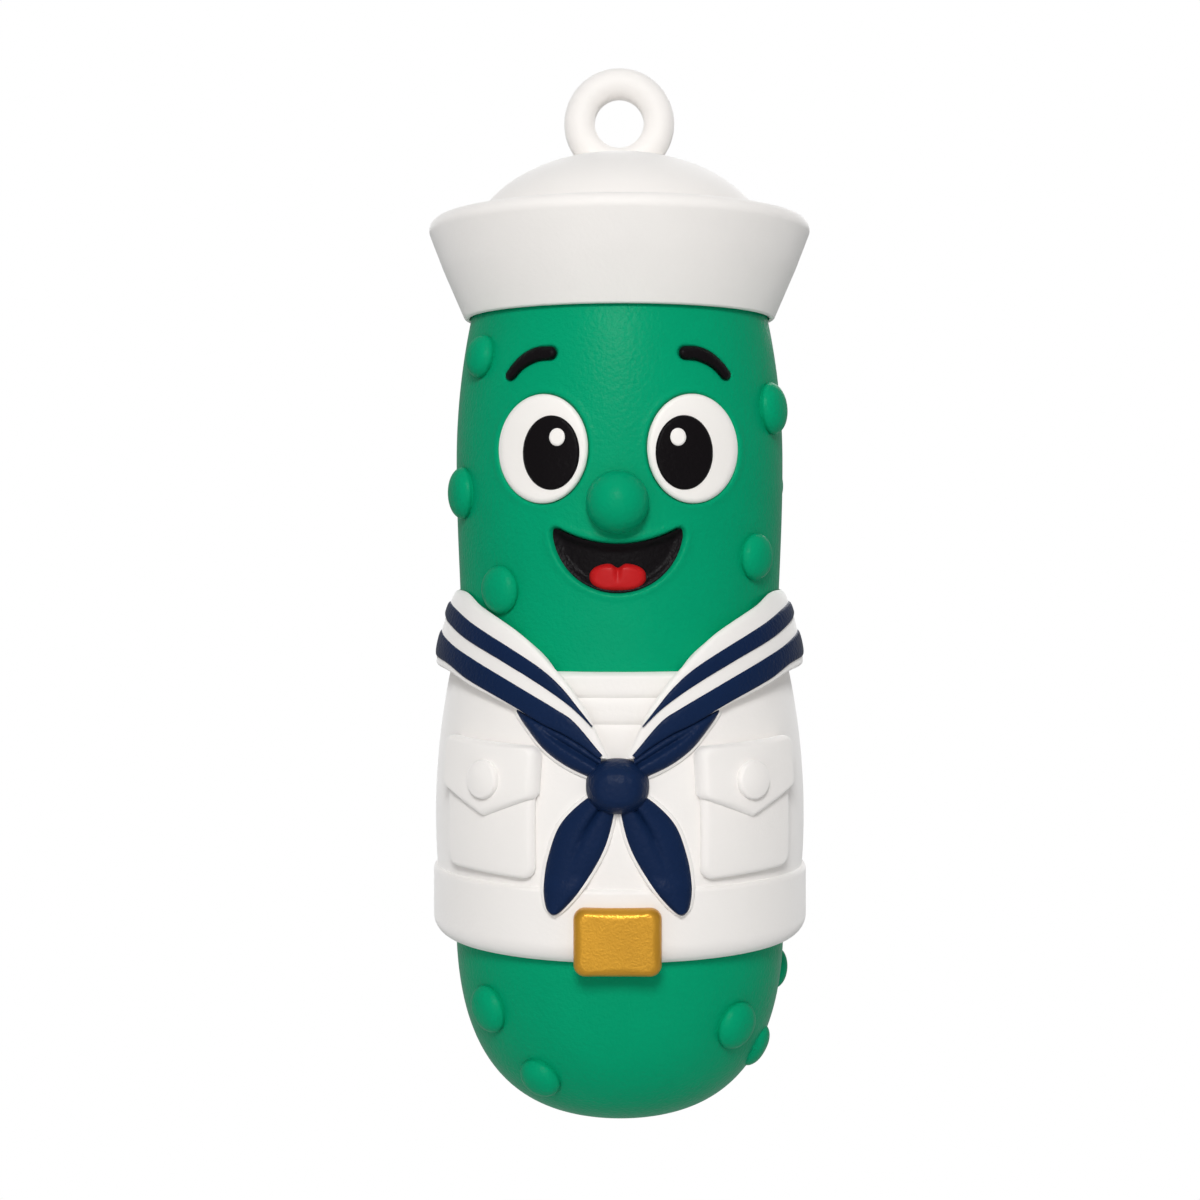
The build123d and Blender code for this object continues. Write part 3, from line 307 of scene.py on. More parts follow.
# Hat cuff
# A flared band of white vinyl, turned up round the crown with a trough behind its rim.
# Its floor holds the pickle's flanged neck, and its lip covers the edge of the head.
CUFF_WALL = 2.4 * MM
CUFF_LIP = 0.5 * MM
CUFF_FLARE = 4.4 * MM
CUFF_BELLY = 0.53
CUFF_BELLY_ROUND = 24 * MM
CUFF_RIM_OUTSIDE = 1.2 * MM
CUFF_RIM_INSIDE = 0.8 * MM
CUFF_FLOOR = 2.0 * MM
TROUGH_LEVEL = 4.9 * MM
TROUGH_ROUND = 0.5 * MM
LIP_DEPTH = 0.85 * MM
LIP_INSIDE_ROUND = 0.12 * MM
LIP_OUTSIDE_ROUND = 0.36 * MM
NECK_HOLE = 9.1 * MM
NECK_HOLE_ROUND = 0.3 * MM
HEAD_EDGE = 16.2 * MM
CROWN_FIT = 0.05 * MM
FIT = 0.2 * MM
hat_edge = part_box("hat_cuff")[0].z
cuff_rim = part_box("hat_cuff")[1].z
lip_inside = HEAD_EDGE + FIT
cuff_foot = lip_inside + CUFF_LIP
floor_low = hat_edge + LIP_DEPTH
cuff_corners = [
    (lip_inside, hat_edge),
    (cuff_foot, hat_edge),
    (cuff_foot + CUFF_BELLY * CUFF_FLARE, hat_edge + (cuff_rim - hat_edge) / 2),
    (cuff_foot + CUFF_FLARE, cuff_rim),
    (cuff_foot + CUFF_FLARE - CUFF_WALL, cuff_rim),
    (CROWN_RADIUS + CROWN_FIT, hat_edge + TROUGH_LEVEL),
    (CROWN_RADIUS + CROWN_FIT, floor_low + CUFF_FLOOR),
    (NECK_HOLE, floor_low + CUFF_FLOOR),
    (NECK_HOLE, floor_low),
    (lip_inside, floor_low),
]
cuff_rounds = [
    LIP_INSIDE_ROUND,
    LIP_OUTSIDE_ROUND,
    CUFF_BELLY_ROUND,
    CUFF_RIM_OUTSIDE,
    CUFF_RIM_INSIDE,
    TROUGH_ROUND,
    0,
    NECK_HOLE_ROUND,
    NECK_HOLE_ROUND,
    0,
]
cuff_section = rounded(cuff_corners, cuff_rounds, steps=10)
add_piece("cuff", [(*turned(cuff_section, closed=True), white_vinyl)], "hat", ["hat_cuff"])

# Pickle body
# One hollow moulding of green vinyl, from the neck in the hat to the rounded lower end.
# The skin rolls down into the seats of the eyes, the eyebrows and the mouth.
GREEN = (2, 151, 106)
BODY_RADIUS = 18.05 * MM
HEAD_RADIUS = 17.85 * MM
BULGE_DROP = 15.55 * MM
SIDE_DIP = 0.7 * MM
LOWER_ROUND = 23.3 * MM
LOWER_POWER = 2.7
LOWER_START = 8 * MM
NECK_RADIUS = 9.0 * MM
FLANGE_RADIUS = 10.4 * MM
FLANGE_SLOPE = 0.95 * MM
FLANGE_DEPTH = 1.9 * MM
SHOULDER_INSET = 0.3 * MM
EYE_ACROSS = 7.7 * MM
EYE_DROP = 14.75 * MM
EYE_WIDTH = 9.4 * MM
EYE_HEIGHT = 11.2 * MM
BROW_LINE = ((6.95, 4.95), (8.2, 5.0), (9.4, 5.45), (10.4, 6.15), (11.15, 7.0))
BROW_START_HALF = 0.7 * MM
BROW_END_HALF = 0.55 * MM
MOUTH_HALF = 6.85 * MM
MOUTH_CORNER_LIFT = 0.35 * MM
MOUTH_DROP = 22.95 * MM
MOUTH_TOP_SAG = 1.6 * MM
MOUTH_LOW_SAG = 6.5 * MM
EYE_RIM = {"height": 0.07 * MM, "away": 0.45 * MM, "spread": 0.3 * MM}
EYE_SEAT = {"depth": 0.55 * MM, "lip": 0.24 * MM, "foot": 0.14 * MM}
BROW_SEAT = {"depth": 0.4 * MM, "lip": 0.2 * MM, "foot": 0.14 * MM}
MOUTH_RIM = {"height": 0.12 * MM, "away": 0.55 * MM, "spread": 0.35 * MM}
MOUTH_SEAT = {"depth": 1.8 * MM, "lip": 0.3 * MM, "foot": 0.22 * MM}
FACE_TURN = math.radians(48)
FACE_START = 2.4 * MM
FACE_STOP = 31.0 * MM
body_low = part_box("pickle_body")[0].z
neck_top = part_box("pickle_body")[1].z
bulge = hat_edge - BULGE_DROP
lower_top = body_low + LOWER_ROUND


def pickle_radius(level):
    """Radius of the pickle's skin at a level, or at an array of levels."""
    level = np.asarray(level, float)
    head = HEAD_RADIUS - (HEAD_RADIUS - HEAD_EDGE) * ((level - bulge) / BULGE_DROP) ** 2
    down = (bulge - level) / (bulge - lower_top)
    dip = SIDE_DIP * (1 - np.cos(2 * math.pi * down)) / 2
    side = HEAD_RADIUS + (BODY_RADIUS - HEAD_RADIUS) * down - dip
    share = np.clip((lower_top - level) / LOWER_ROUND, 0, 1)
    end = BODY_RADIUS * (1 - share**LOWER_POWER) ** (1 / LOWER_POWER)
    return np.where(level >= bulge, head, np.where(level >= lower_top, side, end))


def smooth_path(points, count):
    """Even samples of a smooth curve through points."""
    points = np.array(points, float)
    padded = np.vstack([2 * points[0] - points[1], points, 2 * points[-1] - points[-2]])
    samples = np.linspace(0, len(points) - 1, count)
    spans = np.minimum(samples.astype(int), len(points) - 2)
    t = (samples - spans)[:, None]
    a, b, c, d = (padded[spans + shift] for shift in range(4))
    return b + 0.5 * t * (c - a + t * (2 * a - 5 * b + 4 * c - d + t * (3 * (b - c) + d - a)))


def arc(start, middle, stop, count):
    """Samples of the round arc through three points."""
    (ax, ay), (bx, by), (cx, cy) = start, middle, stop
    d = 2 * (ax * (by - cy) + bx * (cy - ay) + cx * (ay - by))
    a2, b2, c2 = ax**2 + ay**2, bx**2 + by**2, cx**2 + cy**2
    ux = (a2 * (by - cy) + b2 * (cy - ay) + c2 * (ay - by)) / d
    uy = (a2 * (cx - bx) + b2 * (ax - cx) + c2 * (bx - ax)) / d
    radius = math.hypot(ax - ux, ay - uy)
    turns = np.unwrap([math.atan2(y - uy, x - ux) for x, y in (start, middle, stop)])
    steps = np.linspace(turns[0], turns[2], count)
    return np.stack([ux + radius * np.cos(steps), uy + radius * np.sin(steps)], 1)


def bent(start, corner, stop, count=9):
    """Samples of a round bend from one point to another past a corner."""
    t = np.linspace(0, 1, count)[1:-1, None]
    return (1 - t) ** 2 * start + 2 * t * (1 - t) * np.array(corner) + t**2 * stop


def to_line(across, level, line):
    """Distance of points from a line of joined points, and the share along it."""
    spot = np.stack([across, level], -1)[..., None, :]
    start, stop = line[:-1], line[1:]
    span = stop - start
    along = np.clip(((spot - start) * span).sum(-1) / (span**2).sum(-1), 0, 1)
    gap = np.linalg.norm(spot - (start + along[..., None] * span), axis=-1)
    nearest = gap.argmin(-1)
    share = (nearest + np.take_along_axis(along, nearest[..., None], -1)[..., 0]) / len(span)
    return gap.min(-1), share


def inside_outline(across, level, outline):
    """Whether points lie inside a closed outline."""
    inside = np.zeros(np.shape(across), bool)
    for (x1, z1), (x2, z2) in zip(outline, np.roll(outline, -1, 0)):
        if z1 != z2:
            crossing = x1 + (level - z1) * (x2 - x1) / (z2 - z1)
            inside ^= ((z1 > level) != (z2 > level)) & (across < crossing)
    return inside


def oval_gap(across, level, centre, half_width, half_height):
    """Distance outside an upright oval, negative inside it."""
    dx, dz = across - centre[0], level - centre[1]
    reach = np.sqrt((dx / half_width) ** 2 + (dz / half_height) ** 2) + 1e-9
    slope = np.sqrt((dx / half_width**2) ** 2 + (dz / half_height**2) ** 2) / reach + 1e-9
    return (reach - 1) / slope


def ease(value, low, high):
    """Smooth step from 0 at low to 1 at high."""
    share = np.clip((value - low) / (high - low), 0, 1)
    return share * share * (3 - 2 * share)


mouth_level = hat_edge - MOUTH_DROP
mouth_left = (-MOUTH_HALF, mouth_level + MOUTH_CORNER_LIFT)
mouth_right = (MOUTH_HALF, mouth_level + MOUTH_CORNER_LIFT)
mouth_upper = arc(mouth_left, (0, mouth_level - MOUTH_TOP_SAG), mouth_right, 57)[4:-4]
mouth_lower = arc(mouth_right, (0, mouth_level - MOUTH_LOW_SAG), mouth_left, 73)[4:-4]
right_bend = bent(mouth_upper[-1], mouth_right, mouth_lower[0])
left_bend = bent(mouth_lower[-1], mouth_left, mouth_upper[0])
mouth_outline = np.vstack([mouth_upper, right_bend, mouth_lower, left_bend])


def mouth_gap(across, level):
    """Distance of points from the mouth's outline."""
    return to_line(across, level, np.vstack([mouth_outline, mouth_outline[:1]]))[0]


def brow_line(sign, count=24):
    """Middle line of an eyebrow on the front."""
    return smooth_path([(sign * x * MM, hat_edge - drop * MM) for x, drop in BROW_LINE], count)


def skin_rim(gap, height, away, spread):
    """Low swelling of the skin round a seat, by the distance outside the seat's outline."""
    return height * np.exp(-(((gap - away) / spread) ** 2))


def skin_seat(gap, depth, lip, foot):
    """Rolled edge down into a seat, by the distance outside the seat's outline."""
    return -depth * ease(-gap, -lip, foot)


def face_relief(across, level):
    """How far the skin stands out of the pickle's turned form on the front."""
    relief = np.zeros(np.shape(across))
    for sign in (-1, 1):
        eye_spot = (sign * EYE_ACROSS, hat_edge - EYE_DROP)
        gap = oval_gap(across, level, eye_spot, EYE_WIDTH / 2, EYE_HEIGHT / 2)
        relief += skin_rim(gap, **EYE_RIM) + skin_seat(gap, **EYE_SEAT)
        gap, share = to_line(across, level, brow_line(sign))
        gap -= BROW_START_HALF + (BROW_END_HALF - BROW_START_HALF) * share
        relief += skin_seat(gap, **BROW_SEAT)
    gap = mouth_gap(across, level)
    gap = np.where(inside_outline(across, level, mouth_outline), -gap, gap)
    return relief + skin_rim(gap, **MOUTH_RIM) + skin_seat(gap, **MOUTH_SEAT)


green_vinyl = vinyl("green vinyl", GREEN, roughness=0.33, grain=0.75, mottle=0.05, gloss=0.04)
face_turns = np.linspace(-FACE_TURN, FACE_TURN, 193)
rest_turns = np.linspace(FACE_TURN, 2 * math.pi - FACE_TURN, 112)[1:-1]
body_turns = np.concatenate([face_turns, rest_turns])
face_top = hat_edge - FACE_START
face_low = hat_edge - FACE_STOP
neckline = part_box("undershirt")[1].z
waist_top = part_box("waistband")[1].z
waist_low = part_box("waistband")[0].z
# Where each stretch of levels starts, and its count
level_starts = [
    (hat_edge + 0.5 * MM, 8),
    (face_top, 192),
    (face_low, 16),
    (neckline - 1 * MM, 12),
    (waist_low + 1 * MM, 10),
    (lower_top - LOWER_START, 0),
]
body_levels = []
for (start, count), after in zip(level_starts, level_starts[1:]):
    body_levels.extend(np.linspace(start, after[0], count)[:-1])
lower_turn = math.asin((LOWER_START / LOWER_ROUND) ** (LOWER_POWER / 2))
lower_turns = np.linspace(lower_turn, math.pi / 2, 46)[:-1]
body_levels.extend(lower_top - LOWER_ROUND * np.sin(lower_turns) ** (2 / LOWER_POWER))
level_grid, turn_grid = np.meshgrid(body_levels, body_turns, indexing="ij")
radius_grid = pickle_radius(level_grid)
across_grid = radius_grid * np.sin(turn_grid)
front = (np.cos(turn_grid) > 0.5) & (level_grid < face_top) & (level_grid > face_low)
radius_grid[front] += face_relief(across_grid[front], level_grid[front])
neck_section = [
    (NECK_RADIUS, neck_top),
    (FLANGE_RADIUS, neck_top - FLANGE_SLOPE),
    (FLANGE_RADIUS, neck_top - FLANGE_DEPTH),
    (NECK_RADIUS, neck_top - FLANGE_DEPTH),
    (NECK_RADIUS, floor_low - FIT),
    (HEAD_EDGE - SHOULDER_INSET, floor_low - FIT),
]
body_rings = [np.array([[0, 0, neck_top]])]
body_rings += [round_place(body_turns, level, radius) for radius, level in neck_section]
body_rings += list(round_place(turn_grid, level_grid, radius_grid))
body_rings.append(np.array([[0, 0, body_low]]))
add_piece("pickle", [(*ringed(body_rings), green_vinyl)], "pickle", ["pickle_body"])

# Warts
# Round caps of the same green vinyl as the body, on the head and on the lower end.
# Each is glued in a shallow seat of the skin, with a crease round its foot.
WART_RISE = 1.55 * MM
WART_FOOT = [(0, -0.7), (0.95, -0.7), (0.95, -0.2), (0.96, 0.02), (0.995, 0.18)]
WART_ROUND = 0.85
WART_SWELL = 0.95
WART_START = 0.2
# Degrees from the front, then in mm the drop below hat or waistband, the radius and the depth sunk
HEAD_WARTS = [
    (-57.0, 4.75, 2.3, 0),
    (-68.0, 19.05, 2.8, 0),
    (-44.0, 29.25, 2.55, 0),
    (66.0, 10.15, 2.8, 0),
    (54.0, 25.85, 2.5, 0),
    (-124.0, 8.5, 2.5, 0),
    (-132.0, 23.0, 2.7, 0),
    (176.0, 12.5, 2.8, 0),
    (140.0, 24.5, 2.4, 0),
    (112.0, 18.0, 2.6, 0),
]
LOWER_WARTS = [
    (-51.4, 6.3, 2.6, 0),
    (-33.0, 13.1, 2.35, 0),
    (45.6, 7.7, 2.6, 0),
    (74.0, 11.8, 2.5, 0.65),
    (104.0, 4.9, 2.4, 0),
    (-118.0, 8.0, 2.6, 0),
    (162.0, 7.0, 2.5, 0),
]


def stud_tree(name):
    """Tree that seats a stud on each point, facing its own way, with its own radius."""
    tree, given = new_tree(name, [("Stud", "NodeSocketObject"), ("Material", "NodeSocketMaterial")])
    attribute = "GeometryNodeInputNamedAttribute"
    stud = wire(tree, "GeometryNodeObjectInfo", {"Object": given["Stud"]}, out="Geometry")
    facing = wire(tree, attribute, {"Name": "facing"}, out="Attribute", data_type="FLOAT_VECTOR")
    aim = wire(tree, "FunctionNodeAlignRotationToVector", {"Vector": facing}, axis="Z")
    foot = wire(tree, attribute, {"Name": "foot"}, out="Attribute", data_type="FLOAT")
    size = wire(tree, "ShaderNodeCombineXYZ", {"X": foot, "Y": foot, "Z": 1})
    seating = {"Points": given["Geometry"], "Instance": stud, "Rotation": aim, "Scale": size}
    close_tree(tree, given, wire(tree, "GeometryNodeInstanceOnPoints", seating))
    return tree


def add_studs(name, profile, places, radius_at, nodes, material):
    """Seats turned studs, a share of the foot wide, on a turned surface and keeps them as one piece."""
    points, facings, feet = [], [], []
    step = 0.01 * MM
    for angle, level, foot, lift in places:
        turn = math.radians(angle)
        slope = float(radius_at(level + step) - radius_at(level - step)) / (2 * step)
        facing = Vector((math.sin(turn), -math.cos(turn), -slope)).normalized()
        radius = float(radius_at(level))
        points.append(Vector(round_place(turn, level, radius)) + facing * lift)
        facings.append(facing)
        feet.append(foot)
    seats = bpy.data.meshes.new(name + " seats")
    seats.from_pydata(points, [], [])
    seats.attributes.new("facing", "FLOAT_VECTOR", "POINT").data.foreach_set("vector", np.ravel(facings))
    seats.attributes.new("foot", "FLOAT", "POINT").data.foreach_set("value", feet)
    stud_mesh = bpy.data.meshes.new(name + " stud")
    stud_points, stud_faces = turned(profile, turns=64)
    stud_mesh.from_pydata([tuple(point) for point in stud_points], [], stud_faces)
    face_outwards(stud_mesh)
    stud = bpy.data.objects.new(name + " stud", stud_mesh)
    bpy.context.collection.objects.link(stud)
    values = {"Stud": stud, "Material": material}
    piece = settle(name, seats, stud_tree(name), values, "pickle", nodes)
    bpy.data.objects.remove(stud)
    return piece


wart_profile = [(share, height * MM) for share, height in WART_FOOT]
for turn in np.linspace(WART_START, math.pi / 2, 20)[:-1]:
    wart_profile.append((math.cos(turn) ** WART_ROUND, WART_RISE * math.sin(turn) ** WART_SWELL))
wart_profile.append((0, WART_RISE))
wart_places, wart_nodes = [], []
for group, top, warts in (("head", hat_edge, HEAD_WARTS), ("lower", waist_low, LOWER_WARTS)):
    for number, (angle, drop, foot, sunk) in enumerate(warts, 1):
        wart_places.append((angle, top - drop * MM, foot * MM, -sunk * MM))
        wart_nodes.append(f"wart_{group}_{number}")
add_studs("warts", wart_profile, wart_places, pickle_radius, wart_nodes, green_vinyl)

# Eyes
# Oval whites of vinyl inlaid in the head, with black pupils and white glints inlaid in turn.
# Each stands a little proud of what it lies in, with a softly rounded edge.
BLACK = (17, 14, 16)
EYE_COLOUR = (244, 240, 235)
EYE_PAD = {"rise": 0.6 * MM, "base": -0.15 * MM, "edge": 0.6 * MM}
PUPIL_ACROSS = 6.8 * MM
PUPIL_DROP = 15.2 * MM
PUPIL_WIDTH = 5.9 * MM
PUPIL_HEIGHT = 7.6 * MM
PUPIL_PAD = {"rise": 0.3 * MM, "base": 0.42 * MM, "edge": 0.4 * MM}
GLINT_ACROSS = 6.15 * MM
GLINT_DROP = 13.65 * MM
GLINT_WIDTH = 1.64 * MM
GLINT_HEIGHT = 1.84 * MM
GLINT_PAD = {"rise": 0.22 * MM, "base": 0.66 * MM, "edge": 0.25 * MM}
SIDES = (("left", -1), ("right", 1))


def on_skin(radius_at, turn=0.0):
    """Placer of (across, level, rise) points on a turned surface, round an angle from the front."""
    def place(across, level, rise):
        out = radius_at(level) + rise
        return round_place(turn + np.arcsin(np.clip(across / out, -1, 1)), level, out)
    return place


def pad(
    place, outline, centre, rise, base=0.0, seat=0.5 * MM, edge=0.4 * MM, dome=0.0, dent=None, under=0.0
):
    """Closed cushion over an outline seen whole from its centre, rounded and undercut at its edge."""
    outline = np.array(outline, float)
    centre = np.array(centre, float)
    spokes = outline - centre
    reach = np.linalg.norm(spokes, axis=1, keepdims=True)
    steps = []
    for turn in np.linspace(-under, math.pi / 2, 10):
        inset = np.minimum(edge * (1 - math.cos(turn)) / reach, 0.9)
        steps.append((1 - inset, (math.sin(turn) + math.sin(under)) / (1 + math.sin(under))))
    last = steps[-1][0]
    steps += [(last * share, 1.0) for share in np.linspace(1, 0, 16)[1:-1]]
    foot = centre + spokes * steps[0][0]
    rings = [place(centre[:1], centre[1:], np.array([base - seat]))]
    rings.append(place(foot[:, 0], foot[:, 1], np.full(len(foot), base - seat)))
    for share, lift in steps:
        spots = centre + spokes * share
        heights = base + rise * lift + dome * lift * (1 - share[:, 0] ** 2)
        if dent is not None:
            heights = heights + dent(spots[:, 0], spots[:, 1]) * lift
        rings.append(place(spots[:, 0], spots[:, 1], heights))
    top = base + rise + dome
    if dent is not None:
        top += float(dent(centre[:1], centre[1:])[0])
    rings.append(place(centre[:1], centre[1:], np.array([top])))
    return ringed(rings)


def oval(centre, width, height, count=112):
    """Outline of an upright oval."""
    turns = np.linspace(0, 2 * math.pi, count, endpoint=False)
    return np.stack([centre[0] + width / 2 * np.cos(turns), centre[1] + height / 2 * np.sin(turns)], 1)


black_vinyl = vinyl("black vinyl", BLACK, roughness=0.36, grain=1.0, mottle=0.12, gloss=0.06)
eye_white = vinyl("eye white", EYE_COLOUR, roughness=0.45, grain=0.18, mottle=0.02, gloss=0.2, fuzz=0.8)
on_head = on_skin(pickle_radius)
for side, sign in SIDES:
    eye_spot = (sign * EYE_ACROSS, hat_edge - EYE_DROP)
    white = pad(on_head, oval(eye_spot, EYE_WIDTH, EYE_HEIGHT), eye_spot, **EYE_PAD)
    add_piece(f"eye_{side}", [(*white, eye_white)], "pickle", [f"eye_white_{side}"])
    pupil_spot = (sign * PUPIL_ACROSS, hat_edge - PUPIL_DROP)
    pupil = pad(on_head, oval(pupil_spot, PUPIL_WIDTH, PUPIL_HEIGHT), pupil_spot, **PUPIL_PAD)
    add_piece(f"iris_{side}", [(*pupil, black_vinyl)], "pickle", [f"pupil_{side}"])
    glint_spot = (sign * GLINT_ACROSS, hat_edge - GLINT_DROP)
    glint = pad(on_head, oval(glint_spot, GLINT_WIDTH, GLINT_HEIGHT, 64), glint_spot, **GLINT_PAD)
    add_piece(f"light_{side}", [(*glint, eye_white)], "pickle", [f"glint_{side}"])

# Eyebrows
# Tapering arcs of black vinyl over the eyes, with rounded ends.
# Each is glued in a groove of the skin and stands out of it like a bead.
BROW_SWELL = 0.1 * MM
BROW_RISE = 0.85 * MM
BROW_BASE = -0.18 * MM
END_TURNS = np.linspace(0.12, math.pi / 2, 9)[:-1]


def capped(rings):
    """Skin through rings, closed at the middle of the first and of the last."""
    return ringed([rings[0].mean(0, keepdims=True), *rings, rings[-1].mean(0, keepdims=True)])


def strip(place, first, second, rise_at, base=0.0, seat=0.5 * MM, cross=17, power=2.4):
    """Closed bead between two edge lines, round across, with a rise that may vary."""
    shares = (1 - np.cos(np.linspace(0, math.pi, cross))) / 2
    swell = (1 - np.abs(2 * shares - 1) ** power) ** (1 / power)
    rings = []
    count = len(first)
    for index in range(count):
        spots = first[index] * (1 - shares[:, None]) + second[index] * shares[:, None]
        heights = base + rise_at(index / (count - 1), shares) * swell
        under = np.stack([second[index], first[index]])
        crest = place(spots[:, 0], spots[:, 1], heights)
        foot = place(under[:, 0], under[:, 1], np.full(2, base - seat))
        rings.append(np.concatenate([crest, foot]))
    return capped(rings)


def sides_of(line, halves):
    """The two edges of a band of varying half width along a middle line."""
    run = np.gradient(line, axis=0)
    run /= np.linalg.norm(run, axis=1, keepdims=True)
    normal = np.stack([-run[:, 1], run[:, 0]], 1)
    return line + normal * halves[:, None], line - normal * halves[:, None]


def rounded_end(tip, before, half):
    """Points past the tip of a middle line for a round end, the outermost first."""
    end = tip + (tip - before) / np.linalg.norm(tip - before) * half
    return end + (tip - end) * (1 - np.cos(END_TURNS))[:, None]


for side, sign in SIDES:
    middle = brow_line(sign, 40)
    along = np.linspace(0, 1, 40)
    half = BROW_START_HALF + (BROW_END_HALF - BROW_START_HALF) * along
    half += BROW_SWELL * np.sin(math.pi * np.minimum(along * 1.4, 1))
    head = rounded_end(middle[0], middle[1], BROW_START_HALF)
    tail = rounded_end(middle[-1], middle[-2], BROW_END_HALF)
    narrowing = np.sin(END_TURNS)
    line = np.concatenate([head, middle, tail[::-1]])
    halves = np.concatenate([half[0] * narrowing, half, half[-1] * narrowing[::-1]])
    bead_rise = BROW_RISE * (halves / BROW_START_HALF) ** 0.6

    def brow_rise(share, across, bead_rise=bead_rise):
        """Rise of the bead, lower where it is narrow."""
        return bead_rise[round(share * (len(bead_rise) - 1))]

    brow = strip(on_head, *sides_of(line, halves), brow_rise, base=BROW_BASE, power=2.2)
    add_piece(f"brow_{side}", [(*brow, black_vinyl)], "pickle", [f"eyebrow_{side}"])

# Nose
# A ball of green vinyl, moulded by itself.
# It is glued in a shallow seat on the face, with a crease round its foot.
NOSE_RADIUS = 3.2 * MM
NOSE_DROP = 20.25 * MM
NOSE_RISE = 3.9 * MM
NOSE_SEAT = 1.0 * MM
NOSE_FOOT_TURN = 0.5
nose_centre = NOSE_RISE - NOSE_RADIUS
nose_profile = [(0, -NOSE_SEAT), (math.cos(NOSE_FOOT_TURN), -NOSE_SEAT)]
for turn in np.linspace(-NOSE_FOOT_TURN, math.pi / 2, 34)[:-1]:
    nose_profile.append((math.cos(turn), nose_centre + NOSE_RADIUS * math.sin(turn)))
nose_profile.append((0, NOSE_RISE))
nose_place = [(0, hat_edge - NOSE_DROP, NOSE_RADIUS, 0)]
add_studs("nose_ball", nose_profile, nose_place, pickle_radius, ["nose"], green_vinyl)

# Mouth
# A lining of black vinyl, pressed into the smile's recess and dished towards its middle.
# A red vinyl tongue of two lobes is glued on it.
RED = (186, 24, 27)
LINING_PAD = {"rise": 0.02 * MM, "base": -0.5 * MM, "seat": 1.1 * MM, "edge": 0.1 * MM}
LINING_OVERLAP = 1.015
LINING_DISH = 0.5 * MM
LINING_DISH_WIDTH = 0.9 * MM
LINING_MIDDLE = 3.6 * MM
TONGUE_PAD = {"rise": 0.55 * MM, "base": -0.95 * MM, "edge": 0.7 * MM, "dome": 0.2 * MM}
TONGUE_HALF = 2.9 * MM
TONGUE_DROP = 4.95 * MM
TONGUE_UPPER = 1.45 * MM
TONGUE_LOWER = 1.5 * MM
NOTCH_DEPTH = 0.5 * MM
NOTCH_HALF = 0.5 * MM
FURROW_DEPTH = 0.28 * MM
FURROW_HALF = 0.32 * MM
mouth_middle = np.array([0, mouth_level - LINING_MIDDLE])
tongue_level = mouth_level - TONGUE_DROP


def lining_dent(across, level):
    """The lining dishes down from its edge."""
    return -LINING_DISH * ease(mouth_gap(across, level), 0, LINING_DISH_WIDTH)


def tongue_dent(across, level):
    """Furrow down the middle of the tongue that fades towards the lip."""
    fade = ease(level, tongue_level - 0.9 * MM, tongue_level + 0.6 * MM)
    return -FURROW_DEPTH * np.exp(-((across / FURROW_HALF) ** 2)) * fade


def fuller(values, power):
    """Cosines or sines of an outline, drawn out into a fuller oval."""
    return np.sign(values) * np.abs(values) ** power


lining_rim = mouth_middle + (mouth_outline - mouth_middle) * LINING_OVERLAP
lining = pad(on_head, lining_rim, mouth_middle, dent=lining_dent, **LINING_PAD)
add_piece("mouth", [(*lining, black_vinyl)], "pickle", ["mouth_lining"])

red_vinyl = vinyl("red vinyl", RED, roughness=0.36, grain=0.3, mottle=0.06, gloss=0.14)
tongue_turns = np.linspace(0, 2 * math.pi, 120, endpoint=False)
upper = np.sin(tongue_turns) > 0
tongue_x = TONGUE_HALF * fuller(np.cos(tongue_turns), 0.85)
tongue_z = np.where(upper, TONGUE_UPPER, TONGUE_LOWER) * fuller(np.sin(tongue_turns), 0.8)
tongue_z -= np.where(upper, NOTCH_DEPTH, 0) * np.exp(-((tongue_x / NOTCH_HALF) ** 2))
tongue_outline = np.stack([tongue_x, tongue_level + tongue_z], 1)
tongue_centre = (0, tongue_level - 0.2 * MM)
tongue = pad(on_head, tongue_outline, tongue_centre, dent=tongue_dent, **TONGUE_PAD)
add_piece("tongue_lobes", [(*tongue, red_vinyl)], "pickle", ["tongue"])

# Undershirt
# A white vinyl front with three soft ribs, seen in the V between the lapels.
# It is glued on the pickle's skin, and its upper edge is rolled over.
SHIRT_HALF = 7.4 * MM
SHIRT_DEPTH = 10.3 * MM
SHIRT_RISE = 1.0 * MM
SHIRT_ROLL = 0.5 * MM
SHIRT_FOOT = 0.05 * MM
SHIRT_COLUMNS = 33
RIB_VALLEY = 0.72
RIB_DROPS = (0.0, 2.6, 5.3, 10.3)
ROLL_DROPS = (0, 0.04, 0.12, 0.25, 0.4)
rib_levels = [neckline - drop * MM for drop in RIB_DROPS]
shirt_levels = [neckline - drop * MM for drop in ROLL_DROPS]
shirt_levels += list(np.linspace(neckline - 0.6 * MM, neckline - SHIRT_DEPTH + 0.4 * MM, 70))
shirt_rings = []
for level in shirt_levels:
    half = SHIRT_HALF * (level - neckline + SHIRT_DEPTH) / SHIRT_DEPTH
    across = np.linspace(-half, half, SHIRT_COLUMNS)
    band = np.searchsorted(-np.array(rib_levels), -level, side="right") - 1
    band = min(max(band, 0), len(rib_levels) - 2)
    share = (rib_levels[band] - level) / (rib_levels[band] - rib_levels[band + 1])
    if band == 0 and share < 0.5:
        rise = SHIRT_RISE * math.sqrt(min(1.0, (neckline - level) / SHIRT_ROLL))
    else:
        swell = (1 - abs(2 * share - 1) ** 4) ** 0.8
        rise = SHIRT_RISE * (RIB_VALLEY + (1 - RIB_VALLEY) * swell)
    row = np.full(SHIRT_COLUMNS, level)
    shirt_rings.append(np.concatenate([on_head(across, row, rise), on_head(across[::-1], row, SHIRT_FOOT)]))
add_piece("shirt_front", [(*capped(shirt_rings), white_vinyl)], "pickle", ["undershirt"])

